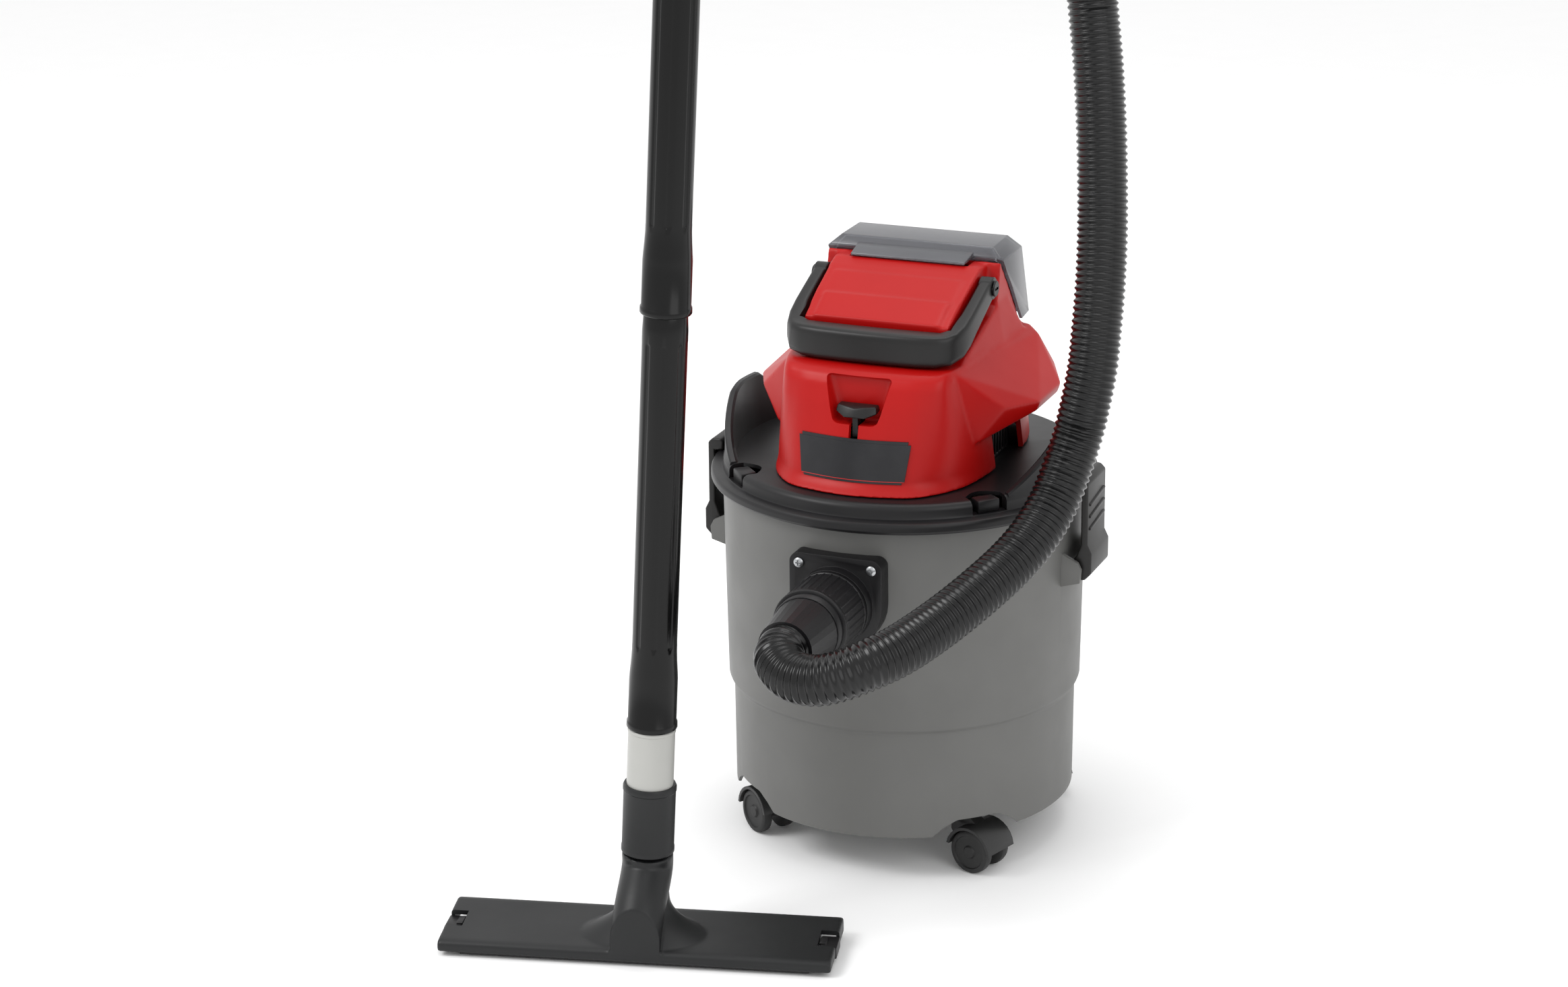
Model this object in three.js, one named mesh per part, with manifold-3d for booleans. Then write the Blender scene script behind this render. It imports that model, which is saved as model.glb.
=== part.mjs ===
// Cordless wet and dry shop vacuum with its hose, wand and floor nozzle.
// Millimetres, +Z up. The vacuum is laid out around the drum's axis with the hose inlet facing -Y,
// and the finished set is then moved so that the middle of its footprint on the floor is the origin.
import * as THREE from 'three';
import { mergeVertices } from 'three/addons/utils/BufferGeometryUtils.js';
import { ConvexGeometry } from 'three/addons/geometries/ConvexGeometry.js';
import Module from 'manifold-3d';

const wasm = await Module();
wasm.setup();

// ---------- driving dimensions ----------
const gap = 0.3;                    // clearance left between pieces that touch
const roundSides = 40;              // facets of the large turned pieces
const smallSides = 14;              // facets of pins, stems and small tubes

// drum
const drumFootRadius = 138.7;
const drumFootZ = 36;
const drumFloorZ = 50;              // underside of the drum's floor
const drumStepZ = 128;
const drumStepRadius = 143.7;       // just above the moulded step
const drumStepDepth = 3.6;
const drumRimRadius = 146.6;
const drumHeight = 260.7;           // from the foot to the rim
const drumWall = 2.8;
const skirtCutZ = 52;               // top of the skirt's openings over the casters
const skirtCutHalfWidth = 47;

// casters
const casterSpread = 80;            // X and Y distance of each stem from the drum's axis
const wheelRadius = 18;
const wheelWidth = 9;
const casterTrail = 16;             // wheel axle behind the stem
const casterWebWidth = 12;
const axleRadius = 3;
const stemRadius = 4;
const stemLength = 12;

// head
const flangeRadius = 156.2;
const flangeHeight = 8;
const deckWallRadius = 146;
const deckZ = 318;
const deckWall = 3;
const deckHoleRadius = 50;
const spigotRadius = 141;
const sealHeight = 2;

// cowl
const cowlFront = 134;              // reach of the cowl's foot in front of the axis
const cowlHalfWidth = 86;
const cowlRear = 112;
const shoulderZ = 412;
const shoulderHalfWidth = 70;
const panelHalfWidth = 61;
const panelFrontZ = 441;
const panelRearZ = 472;
const wingReach = 118;              // X of the wing tips
const wingZ = 371;
const cowlWall = 3;

const switchSlotHalf = 3.8;

// battery bay and cover
const coverHalfWidth = 74.5;
const coverFrontY = 24;
const coverRearY = 91;
const coverTopZ = 484;
const coverLowZ = 414;
const coverWall = 2.3;
const hingeY = 96;
const hingeZ = 421;
const hingePinRadius = 2;
const batteryWidth = 76;
const batteryDepth = 48;
const batteryHeight = 82;
const batteryTopZ = 465;
const bayWall = 2;

// carry handle
const handlePivotY = 0;
const handlePivotZ = 458;
const handleHalfWidth = 75;
const handleArmWidth = 11;
const handleBarY = -74;
const handleBarZ = 426;
const handleBarHeight = 22;
const handleBarDepth = 24;
const handlePinRadius = 4;

// latches
const latchHalfWidth = 24;
const latchPivotX = 153;
const latchPivotZ = 240;
const latchPinRadius = 2;
const earThickness = 4;

// inlet and hose
const inletZ = 238;
const inletFlangeRadius = 38;
const inletEarX = 30;
const inletEarRise = 31;
const inletFrontY = -157;
const socketOuter = 31;
const socketBore = 26.6;
const collarLength = 45;
const collarRadius = 30.4;
const hoseRadius = 19.5;
const hoseBore = 16;
const hoseSteps = 48;
const cuffLength = 40;

// motor, float and filter
const motorTopZ = 378;
const motorHousingRadius = 50;
const fanRadius = 42;
const cageRadius = 50;
const cageBottomZ = 196;
const floatRadius = 17;
const filterRadius = 76;
const filterBore = 54;
const filterBottomZ = 190;
const filterPleats = 30;

// wand and nozzle
const nozzleLength = 304;
const nozzleDepth = 76;
const nozzleFoot = 3.5;             // underside of the nozzle's shell
const nozzleFrontHeight = 13;
const nozzleRearHeight = 17.5;
const nozzleShell = 2.6;
const nozzleX = -100;
const nozzleY = -315;
const nozzleTurn = THREE.MathUtils.degToRad(13.2);
const neckRadius = 20;
const neckTop = new THREE.Vector3(-97.4, -305.1, 76.6);
const wandLean = new THREE.Vector3(0.049, 0.019, 1).normalize();
const wandRadius = 17;
const wandGrip = 1.4;               // extra radius at the flared ends
const wandBore = 14;
const collarHeight = 56;
const endTubeShown = 46;
const wandLength = 324;
const handPieceRise = 46;           // straight length below the hand-piece's bend
const handPieceReach = 24;          // straight length above it

// centre line of the hose from the tank cuff to the hand-piece cuff, in the drum's frame
const hoseRoute = [
  [0, -262.3, 238], [0, -270, 238], [4, -283, 236], [19, -296, 232], [40, -302, 233],
  [60, -300, 239], [77, -291, 246], [93, -271, 252], [106, -246, 259], [119, -220, 268],
  [133, -194, 280], [146, -167, 293], [157, -144, 309], [165, -123, 329], [171, -107, 354],
  [176, -97, 378], [180, -92, 402], [183, -86, 428], [183.5, -79, 456], [183, -70, 486],
  [181, -60, 518], [178, -51, 550], [173, -40, 598], [166.5, -30, 647], [158.5, -22, 697],
  [151, -17, 756], [147, -14.5, 818], [146, -14, 878], [143, -18.5, 920], [133.5, -31, 959],
  [118.5, -51.5, 992], [99, -78, 1018], [76, -109, 1035], [51.5, -142.5, 1041],
  [27, -176.5, 1036.5], [4, -208, 1021.5], [-16, -235, 997], [-29, -252.6, 973.1],
  [-32.1, -256.9, 964.6],
].map(([x, y, z]) => new THREE.Vector3(x, y, z));

// ---------- finishes ----------
const finishes = {
  grey: { color: 0x5c5c5b, roughness: 0.55, metalness: 0 },
  red: { color: 0xc81a1a, roughness: 0.42, metalness: 0 },
  black: { color: 0x2e2d2f, roughness: 0.5, metalness: 0 },
  smoke: { color: 0x3a3b3f, roughness: 0.2, metalness: 0 },
  steel: { color: 0xb4b6b8, roughness: 0.35, metalness: 1 },
  tube: { color: 0xcbcbc7, roughness: 0.4, metalness: 0.2 },
  hose: { color: 0x232323, roughness: 0.4, metalness: 0 },
  rubber: { color: 0x1d1d1d, roughness: 0.8, metalness: 0 },
  paper: { color: 0xe6e0cf, roughness: 0.9, metalness: 0 },
  white: { color: 0xdddcd6, roughness: 0.5, metalness: 0 },
  copper: { color: 0x9a5a34, roughness: 0.45, metalness: 1 },
  board: { color: 0x1f5a38, roughness: 0.5, metalness: 0 },
};

// ---------- small tools ----------
const vacuum = new THREE.Group();
const v = (x, y, z) => new THREE.Vector3(x, y, z);

/** Turns a geometry into one with shared vertices and faces that point out. */
function tidy(geometry) {
  const bare = geometry.index ? geometry.toNonIndexed() : geometry.clone();
  for (const name of Object.keys(bare.attributes)) {
    if (name !== 'position') bare.deleteAttribute(name);
  }
  const merged = mergeVertices(bare, 1e-4);
  const p = merged.attributes.position.array;
  const kept = [];
  let volume = 0;
  for (let i = 0; i < merged.index.count; i += 3) {
    const [a, b, c] = [0, 1, 2].map((k) => merged.index.getX(i + k));
    if (a === b || b === c || c === a) continue;
    kept.push(a, b, c);
    const [A, B, C] = [a, b, c].map((k) => v(p[3 * k], p[3 * k + 1], p[3 * k + 2]));
    volume += A.dot(B.cross(C));
  }
  if (volume < 0) kept.reverse();
  merged.setIndex(kept);
  return merged;
}

/** A manifold solid from a closed three.js geometry. */
function solid(geometry) {
  const g = tidy(geometry);
  const mesh = new wasm.Mesh({
    numProp: 3,
    vertProperties: new Float32Array(g.attributes.position.array),
    triVerts: new Uint32Array(g.index.array),
  });
  return new wasm.Manifold(mesh);
}

const join = (first, ...rest) => rest.reduce((sum, s) => sum.add(s), first);
const cut = (first, ...rest) => rest.reduce((left, s) => left.subtract(s), first);

/** Adds a finished solid to the scene as a named mesh. */
function place(name, shape, finish, parent = vacuum) {
  const m = shape.getMesh();
  const geometry = new THREE.BufferGeometry();
  geometry.setAttribute('position', new THREE.BufferAttribute(Float32Array.from(m.vertProperties), 3));
  geometry.setIndex(Array.from(m.triVerts));
  geometry.computeVertexNormals();
  const mesh = new THREE.Mesh(geometry, new THREE.MeshStandardMaterial({ ...finishes[finish] }));
  mesh.name = name;
  parent.add(mesh);
  return mesh;
}

/** A turned solid about Z from [radius, z] points that close on themselves or on the axis. */
function turned(points, sides = roundSides) {
  const closes = points[0][0] === 0 && points.at(-1)[0] === 0;
  const profile = (closes ? points : [...points, points[0]]).map(([r, z]) => new THREE.Vector2(r, z));
  return solid(new THREE.LatheGeometry(profile, sides).rotateX(Math.PI / 2));
}

/** A cylinder along an axis from low to high, centred on the other two coordinates. */
function rod(axis, radius, low, high, at = [0, 0], sides = smallSides, endRadius = radius) {
  const g = new THREE.CylinderGeometry(endRadius, radius, high - low, sides);
  g.translate(0, (high + low) / 2, 0);
  if (axis === 'z') return solid(g.rotateX(Math.PI / 2).translate(at[0], at[1], 0));
  if (axis === 'x') return solid(g.rotateZ(-Math.PI / 2).translate(0, at[0], at[1]));
  return solid(g.translate(at[0], 0, at[1]));
}

function box(x0, x1, y0, y1, z0, z1) {
  const g = new THREE.BoxGeometry(x1 - x0, y1 - y0, z1 - z0);
  return solid(g.translate((x0 + x1) / 2, (y0 + y1) / 2, (z0 + z1) / 2));
}

/** The convex solid around a set of points. */
const hull = (points) => solid(new ConvexGeometry(points));

/** Points given for +X, with their mirror images in -X. */
const mirrored = (points) => points.flatMap(([x, y, z]) => (x === 0 ? [v(x, y, z)] : [v(x, y, z),
  v(-x, y, z)]));

/** A flat outline pushed along +Z. */
function pushed(shape, low, high, curveSegments = 10) {
  const g = new THREE.ExtrudeGeometry(shape, { depth: high - low, bevelEnabled: false, curveSegments });
  return solid(g.translate(0, 0, low));
}

/** An outline drawn in X and Z, pushed along Y. */
function pushedAlongY(points, low, high) {
  const shape = new THREE.Shape(points.map(([x, z]) => new THREE.Vector2(x, z)));
  const g = new THREE.ExtrudeGeometry(shape, { depth: high - low, bevelEnabled: false });
  return solid(g.rotateX(Math.PI / 2).translate(0, high, 0));
}

/** An outline drawn in Y and Z, pushed along X. */
function pushedAlongX(points, low, high) {
  const shape = new THREE.Shape(points.map(([y, z]) => new THREE.Vector2(y, z)));
  const g = new THREE.ExtrudeGeometry(shape, { depth: high - low, bevelEnabled: false });
  return solid(g.rotateX(Math.PI / 2).rotateZ(Math.PI / 2).translate(low, 0, 0));
}

function moved(shape, matrix) {
  return shape.transform(matrix.elements);
}

const shifted = (shape, x, y, z) => moved(shape, new THREE.Matrix4().makeTranslation(x, y, z));
const turnedZ = (shape, angle) => moved(shape, new THREE.Matrix4().makeRotationZ(angle));
const flippedX = (shape) => shape.transform(new THREE.Matrix4().makeScale(-1, 1, 1).elements);

/** A tube along a curve, solid or with a bore. */
function piped(curve, radius, steps, sides, bore = 0) {
  const shape = new THREE.Shape(ring(radius, sides));
  if (bore > 0) shape.holes.push(new THREE.Path(ring(bore, sides).reverse()));
  return solid(new THREE.ExtrudeGeometry(shape, { steps, extrudePath: curve, bevelEnabled: false }));
}

function ring(radius, sides) {
  return Array.from({ length: sides }, (_, i) => {
    const a = (i / sides) * 2 * Math.PI;
    return new THREE.Vector2(radius * Math.cos(a), radius * Math.sin(a));
  });
}

// ---------- drum ----------
const drumRimZ = drumFootZ + drumHeight;

/** The drum's outer form, grown by a clearance. */
function drumForm(grow) {
  return turned([
    [0, drumFootZ], [drumFootRadius + grow, drumFootZ],
    [drumStepRadius - drumStepDepth + grow, drumStepZ - 1], [drumStepRadius + grow, drumStepZ + 1],
    [drumRimRadius + grow, drumRimZ], [0, drumRimZ],
  ]);
}

function latchEar(side) {
  const low = latchHalfWidth + 2 * gap;
  const ear = [[140, latchPivotZ - 9], [latchPivotX + 4, latchPivotZ - 6],
    [latchPivotX + 4, latchPivotZ + 6],
    [140, latchPivotZ + 10]];
  const pair = join(pushedAlongY(ear, low, low + earThickness),
    pushedAlongY(ear, -low - earThickness, -low));
  const bored = cut(pair, rod('y', latchPinRadius + gap, -40, 40, [latchPivotX, latchPivotZ]));
  return side > 0 ? bored : flippedX(bored);
}

function buildDrum() {
  const inner = turned([
    [0, drumFloorZ + drumWall], [drumFootRadius - drumWall - 1, drumFloorZ + drumWall],
    [drumStepRadius - drumStepDepth - drumWall, drumStepZ - 1],
      [drumStepRadius - drumWall, drumStepZ + 1],
    [drumRimRadius - drumWall, drumRimZ + 1], [0, drumRimZ + 1],
  ]);
  const under = turned([
    [0, drumFootZ - 1], [drumFootRadius - drumWall, drumFootZ - 1],
    [drumFootRadius - drumWall + 0.4, drumFloorZ], [0, drumFloorZ],
  ]);
  let drum = cut(join(drumForm(0), latchEar(1), latchEar(-1)), inner, under);
  for (const [x, y] of casterPlaces()) {
    drum = drum.add(rod('z', stemRadius + 5, drumFloorZ, drumFloorZ + stemLength + 5, [x, y]));
    const opening = hull([
      v(100, -skirtCutHalfWidth, drumFootZ - 5), v(170, -skirtCutHalfWidth, drumFootZ - 5),
      v(100, skirtCutHalfWidth, drumFootZ - 5), v(170, skirtCutHalfWidth, drumFootZ - 5),
      v(100, -skirtCutHalfWidth + 16, skirtCutZ - drumWall), v(170, -skirtCutHalfWidth + 16, skirtCutZ),
      v(100, skirtCutHalfWidth - 16, skirtCutZ - drumWall), v(170, skirtCutHalfWidth - 16, skirtCutZ),
    ]);
    const corner = Math.atan2(y, x);
    drum = drum.subtract(cut(turnedZ(opening, corner), box(-200, 200, -200, 200, drumFloorZ - gap,
      99)));
    drum = drum.subtract(rod('z', stemRadius + gap, drumFloorZ - 1, drumFloorZ + stemLength + 1, [x,
      y]));
  }
  drum = drum.subtract(rod('y', socketBore + 2 * gap, -200, -100, [0, inletZ], 28));
  place('drum', drum, 'grey');
}

// ---------- casters ----------
function casterPlaces() {
  const s = casterSpread;
  return [[s, -s, -0.3], [-s, -s, 2.5], [s, s, 0.45], [-s, s, 2.2]];
}

function buildCasters() {
  const names = ['front_right', 'front_left', 'rear_right', 'rear_left'];
  casterPlaces().forEach(([x, y, turn], i) => {
    const caster = new THREE.Group();
    caster.position.set(x, y, 0);
    caster.rotation.z = turn;
    vacuum.add(caster);
    const top = drumFloorZ - 2 * gap;
    const web = pushedAlongY([[-8, top - 1], [-8, 30], [-1, 19], [casterTrail - 2, 10],
      [casterTrail + 7, 13],
      [casterTrail + 6, 36], [9, top - 5], [9, top - 1]], -casterWebWidth / 2, casterWebWidth / 2);
    const arc = new THREE.Shape();
    arc.absarc(0, 0, wheelRadius + 3.4, 0.1, Math.PI - 0.2, false);
    arc.absarc(0, 0, wheelRadius + 0.9, Math.PI - 0.2, 0.1, true);
    const half = casterWebWidth / 2 + wheelWidth + 2;
    const fender = new THREE.ExtrudeGeometry(arc, { depth: 2 * half, bevelEnabled: false,
      curveSegments: 6 });
    fender.rotateX(Math.PI / 2).translate(casterTrail, half, wheelRadius);
    const hood = cut(
      join(web, solid(fender), rod('z', 9, 38.5, top, [0, 0]), rod('z', stemRadius, top - 1,
        top + stemLength)),
      rod('y', axleRadius + gap, -20, 20, [casterTrail, wheelRadius]),
    );
    place(`caster_hood_${names[i]}`, hood, 'black', caster);
    const inside = casterWebWidth / 2 + 2 * gap;
    const disc = (sign) => {
      const [a, b] = [sign * inside, sign * (inside + wheelWidth)].sort((p, q) => p - q);
      return rod('y', wheelRadius, a, b, [casterTrail, wheelRadius], 20);
    };
    const axle = rod('y', axleRadius, -inside - 1, inside + 1, [casterTrail, wheelRadius]);
    place(`caster_wheels_${names[i]}`, join(axle, disc(1), disc(-1)), 'rubber', caster);
  });
}

// ---------- head base, seal and deck ----------
const flangeZ = drumRimZ + gap + sealHeight / 2;
const flangeTopZ = flangeZ + flangeHeight;

/** One of the two raised wind deflectors at the edge of the deck. */
function deckFin() {
  const arc = new THREE.Shape();
  const from = THREE.MathUtils.degToRad(-36);
  const to = THREE.MathUtils.degToRad(30);
  arc.absarc(0, 0, deckWallRadius - 1, from, to, false);
  arc.absarc(0, 0, deckWallRadius - 9, to, from, true);
  const slope = hull([v(95, -92, deckZ - 3), v(160, -92, deckZ - 3), v(95, 80, deckZ - 3),
    v(160, 80, deckZ - 3),
    v(95, -88, deckZ + 2), v(160, -88, deckZ + 2), v(95, -48, 352), v(160, -48, 352), v(95, -22, 362),
    v(160, -22, 362), v(95, 22, 362), v(160, 22, 362), v(95, 72, deckZ + 4), v(160, 72, deckZ + 4)]);
  return pushed(arc, deckZ - 2, 364, 10).intersect(slope);
}

function buildHeadBase() {
  const shell = turned([
    [deckHoleRadius, deckZ - deckWall], [deckHoleRadius, deckZ], [deckWallRadius - 4, deckZ],
    [deckWallRadius - 1, deckZ - 1.5], [deckWallRadius, deckZ - 5], [deckWallRadius, flangeTopZ],
    [flangeRadius - 1, flangeTopZ], [flangeRadius, flangeTopZ - 1], [flangeRadius, flangeZ],
    [drumRimRadius + 3, flangeZ], [drumRimRadius + 3, flangeZ - 3], [drumRimRadius + 1, flangeZ - 3],
    [drumRimRadius + 1, flangeZ + sealHeight / 2 + gap], [spigotRadius, flangeZ + sealHeight / 2 + gap],
    [spigotRadius, drumRimZ - 10], [spigotRadius - deckWall, drumRimZ - 10],
    [spigotRadius - deckWall, deckZ - deckWall],
  ]);
  let base = join(shell, deckFin(), flippedX(deckFin()));
  for (const side of [-1, 1]) {
    for (const turn of [0.72, 0.86]) {
      const slot = box(-2.6, 2.6, -170, -deckWallRadius + 11, flangeTopZ + gap, deckZ + 9);
      base = base.subtract(turnedZ(slot, side * turn));
    }
  }
  place('head_base', base, 'black');
  place('head_seal', turned([
    [spigotRadius + gap, drumRimZ + gap], [drumRimRadius + gap, drumRimZ + gap],
    [drumRimRadius + gap, drumRimZ + gap + sealHeight - gap], [spigotRadius + gap,
      drumRimZ + gap + sealHeight - gap],
  ]), 'rubber');
}

// ---------- cowl ----------
const cowlFootZ = deckZ + gap;

/** The cowl's lower body, drawn in by an inset. */
function cowlLower(inset) {
  const foot = inset > 0 ? cowlFootZ - 1 : cowlFootZ;
  const i = inset;
  return hull(mirrored([
    [0, -cowlFront + i, foot], [26, -cowlFront + 3 + i, foot], [52 - i / 2, -cowlFront + 13 + i, foot],
    [cowlHalfWidth - 3 - i, -cowlFront + 54 + i, foot], [cowlHalfWidth + 2 - i, -20, foot],
    [cowlHalfWidth + 2 - i, cowlRear - 55, foot], [62 - i, cowlRear - 14 - i / 2, foot],
      [0, cowlRear - i, foot],
    [0, -93 + i, shoulderZ - i], [45 - i, -91 + i, shoulderZ - i],
    [shoulderHalfWidth - i, -84 + i, shoulderZ - i], [76 - i, 20, shoulderZ - i],
    [76 - i, 80 - i, shoulderZ - i], [58 - i, 92 - i, shoulderZ - i],
  ]));
}

/** The narrower body between the handle's arms and under the battery cover. */
function cowlUpper(inset) {
  const i = inset;
  return hull(mirrored([
    [panelHalfWidth - 2 - i, -62 + i, shoulderZ - 4], [panelHalfWidth - 1 - i, -65 + i,
      panelFrontZ - i],
    [panelHalfWidth - i, -36, panelFrontZ + 14.5 - i], [panelHalfWidth + 1 - i, -6, 467.5 - i],
    [panelHalfWidth + 1 - i, 8, panelRearZ - i], [panelHalfWidth + 2 - i, 26, panelRearZ - i],
    [panelHalfWidth + 4 - i, 74 - i, 466 - i], [67 - i, 82 - i, 432 - i],
      [67 - i, 83 - i, shoulderZ - 4],
  ]));
}

/** A side wing, with a blunt tip. */
function cowlWing(inset) {
  const i = inset;
  return hull([
    v(60, -82 + i, shoulderZ - 2 - i), v(shoulderHalfWidth - 2, -82 + i, shoulderZ - 2 - i),
    v(60, 78 - i, shoulderZ - 1 - i), v(80 - i, 74 - i, shoulderZ - 1 - i),
      v(90 - i, 67 - i, shoulderZ - 6 - i),
    v(wingReach - i, -12 + i, wingZ + 1), v(wingReach - i, 42 - i, wingZ + 1),
    v(wingReach - 3 - i, -12 + i, wingZ - 6 + i), v(wingReach - 3 - i, 42 - i, wingZ - 6 + i),
    v(103 - i, 72 - i, 380), v(102 - i, -50 + i, 376), v(84, -62 + i, 350 + i), v(84, 70 - i, 350 + i),
    v(60, -62 + i, 340 + i), v(60, 70 - i, 340 + i),
  ]);
}

/** Ledges beside the upper body: the slope under the handle's arm and the cheek before the cover. */
function cowlShoulder() {
  const slope = hull([v(56, -84, shoulderZ - 5), v(shoulderHalfWidth, -84, shoulderZ - 5),
    v(56, 14, 442),
    v(74, 14, 441), v(56, 70, shoulderZ - 3), v(82, 66, shoulderZ - 3), v(80, 14, shoulderZ - 3),
    v(56, 40, 442), v(74, 40, 441)]);
  const cheek = pushedAlongX([[13, shoulderZ - 3], [13, 444], [20.5, 473.5], [coverFrontY - 1.6, 473.5],
    [43, 449], [71, coverLowZ], [72, shoulderZ - 3]], 56, coverHalfWidth - 1);
  return join(slope, cheek);
}

const switchPocket = (grow) => hull(mirrored([
  [28 + grow, -150, 406 + grow], [19 + grow, -150, 371 - grow],
  [26 + grow, -95 + grow, 406 + grow], [17 + grow, -97 + grow, 371 - grow],
]));

function batteryBay(grow) {
  const half = batteryWidth / 2 + 1 + bayWall + grow;
  return box(-half, half, bayFrontY - grow, bayRearY + grow, bayFloorZ - grow, coverTopZ + 20);
}

const bayFrontY = 24.5;
const bayRearY = bayFrontY + batteryDepth + 2 + 2 * bayWall;
const bayFloorZ = batteryTopZ - batteryHeight - bayWall - gap;

function buildCowl() {
  const outside = join(cowlLower(0), cowlUpper(0), cowlWing(0), flippedX(cowlWing(0)), cowlShoulder(),
    flippedX(cowlShoulder()));
  const inside = join(cowlLower(cowlWall), cowlUpper(cowlWall), cowlWing(cowlWall),
    flippedX(cowlWing(cowlWall)));
  const pocketWall = switchPocket(cowlWall).intersect(cowlLower(0));
  let cowl = join(cut(outside, inside), pocketWall).subtract(switchPocket(0));
  cowl = cowl.subtract(box(-switchSlotHalf, switchSlotHalf, -140, -104, 357, 380));
  cowl = cowl.subtract(batteryBay(gap));
  for (const side of [1, -1]) {
    const vent = box(70, 130, -30, 34, cowlFootZ - 1, 352);
    cowl = cowl.subtract(side > 0 ? vent : flippedX(vent));
    cowl = cowl.subtract(rod('x', handlePinRadius - 1, 40, 80, [handlePivotY, handlePivotZ]).transform(
      new THREE.Matrix4().makeScale(side, 1, 1).elements));
  }
  // port for the blowing connection at the back
  cowl = cowl.subtract(rod('y', 19.2 + gap, 60, 130, [0, 346], 28));
  // finger recess under the cover's front tab
  cowl = cowl.subtract(hull(mirrored([[50, 5, 473.5], [50, 5, 480], [50, 25, 466], [50, 25, 480]])));
  // knuckles for the cover's hinge pin
  for (const [a, b] of [[-36, -22], [22, 36]]) {
    const ear = pushedAlongX([[bayRearY + 2, hingeZ - 10], [hingeY, hingeZ - 4], [hingeY + 3.4, hingeZ],
      [hingeY, hingeZ + 4], [bayRearY + 2, hingeZ + 6]], a, b);
    cowl = cowl.add(ear);
  }
  cowl = cowl.subtract(rod('x', hingePinRadius + gap, -70, 70, [hingeY, hingeZ]));
  place('cowl', cowl, 'red');

  const front = cut(shifted(cowlLower(0), 0, -1.1, 0), shifted(cowlLower(0), 0, -gap, 0));
  const label = pushedAlongY([[-44, 361], [-40.5, 328], [40.5, 328], [44, 361]], -150, -100);
  place('label_plate', front.intersect(label), 'black');
  const grille = (side) => {
    let plate = box(74, 77, -29, 33, cowlFootZ + gap, 351.4);
    for (let y = -24; y <= 26; y += 7) plate = plate.subtract(box(70, 80, y, y + 4, cowlFootZ + 5,
      346));
    return side > 0 ? plate : flippedX(plate);
  };
  place('exhaust_grille_right', grille(1), 'black');
  place('exhaust_grille_left', grille(-1), 'black');
}

function buildBlowerPort() {
  const y0 = 84;
  const y1 = 134;
  const tube = cut(rod('y', 19.2, y0, y1, [0, 346], 28), rod('y', 16.6, y0 - 1, y1 + 1, [0, 346], 28));
  const lip = cut(rod('y', 24, cowlRear + 1.2, cowlRear + 5, [0, 346], 28),
    rod('y', 17, y0, y1, [0, 346], 28));
  place('blower_port', join(tube, lip), 'black');
}

// ---------- switch ----------
/** A wing-shaped rocker in the recess, with a stem that reaches into the slot below it. */
function buildSwitch() {
  const wing = hull(mirrored([
    [17, -101, 381], [17, -110, 380], [16, -101, 385.5], [16, -108, 385],
    [8, -116, 377], [8, -101, 374], [0, -114, 384],
  ]));
  const half = switchSlotHalf - 1.6;
  const stem = box(-half, half, -112, -105, 361, 377);
  place('switch_rocker', join(wing, stem), 'black');
}

// ---------- carry handle ----------
function buildHandle() {
  const inner = handleHalfWidth - handleArmWidth;
  const arm = () => {
    const side = [[handleBarY - 10, handleBarZ - 11], [handleBarY + 6, handleBarZ - 11],
      [handlePivotY + 8, handlePivotZ - 8]];
    return pushedAlongX([...side, [handlePivotY + 10, handlePivotZ],
      [handlePivotY + 6, handlePivotZ + 8],
      [handlePivotY - 4, handlePivotZ + 10], [handleBarY - 4, handleBarZ + 12]],
        inner, handleHalfWidth);
  };
  const bar = hull(mirrored([
    [handleHalfWidth - 3, handleBarY - handleBarDepth / 2 + 3, handleBarZ - handleBarHeight / 2],
    [52, handleBarY - handleBarDepth / 2 - 2, handleBarZ - handleBarHeight / 2 - 2],
    [handleHalfWidth - 3, handleBarY + handleBarDepth / 2 - 5, handleBarZ - handleBarHeight / 2],
    [handleHalfWidth - 6, handleBarY - handleBarDepth / 2 + 2, handleBarZ + handleBarHeight / 2 - 4],
    [52, handleBarY - handleBarDepth / 2 - 1, handleBarZ + handleBarHeight / 2 - 4],
    [handleHalfWidth - 3, handleBarY + handleBarDepth / 2 - 5, handleBarZ + handleBarHeight / 2 + 2],
  ]));
  const panel = hull(mirrored([
    [panelHalfWidth + 2, -62, 400], [panelHalfWidth + 2, -66.5, 442], [panelHalfWidth + 3, -20, 480],
    [panelHalfWidth + 3, 0, 400],
  ]));
  let handle = join(cut(bar, panel), arm(), flippedX(arm()));
  handle = handle.subtract(rod('x', handlePinRadius + gap, -90, 90, [handlePivotY, handlePivotZ]));
  place('carry_handle', handle, 'black');
  for (const [side, name] of [[-1, 'left'], [1, 'right']]) {
    const pin = join(rod('x', handlePinRadius, inner + gap, handleHalfWidth + 1, [handlePivotY,
      handlePivotZ]),
      rod('x', handlePinRadius - 1 - gap, 52, inner + 1, [handlePivotY, handlePivotZ]),
      rod('x', 6.4, handleHalfWidth + 0.5, handleHalfWidth + 2, [handlePivotY, handlePivotZ]));
    place(`handle_pivot_${name}`, side > 0 ? pin : flippedX(pin), 'black');
  }
}

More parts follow.
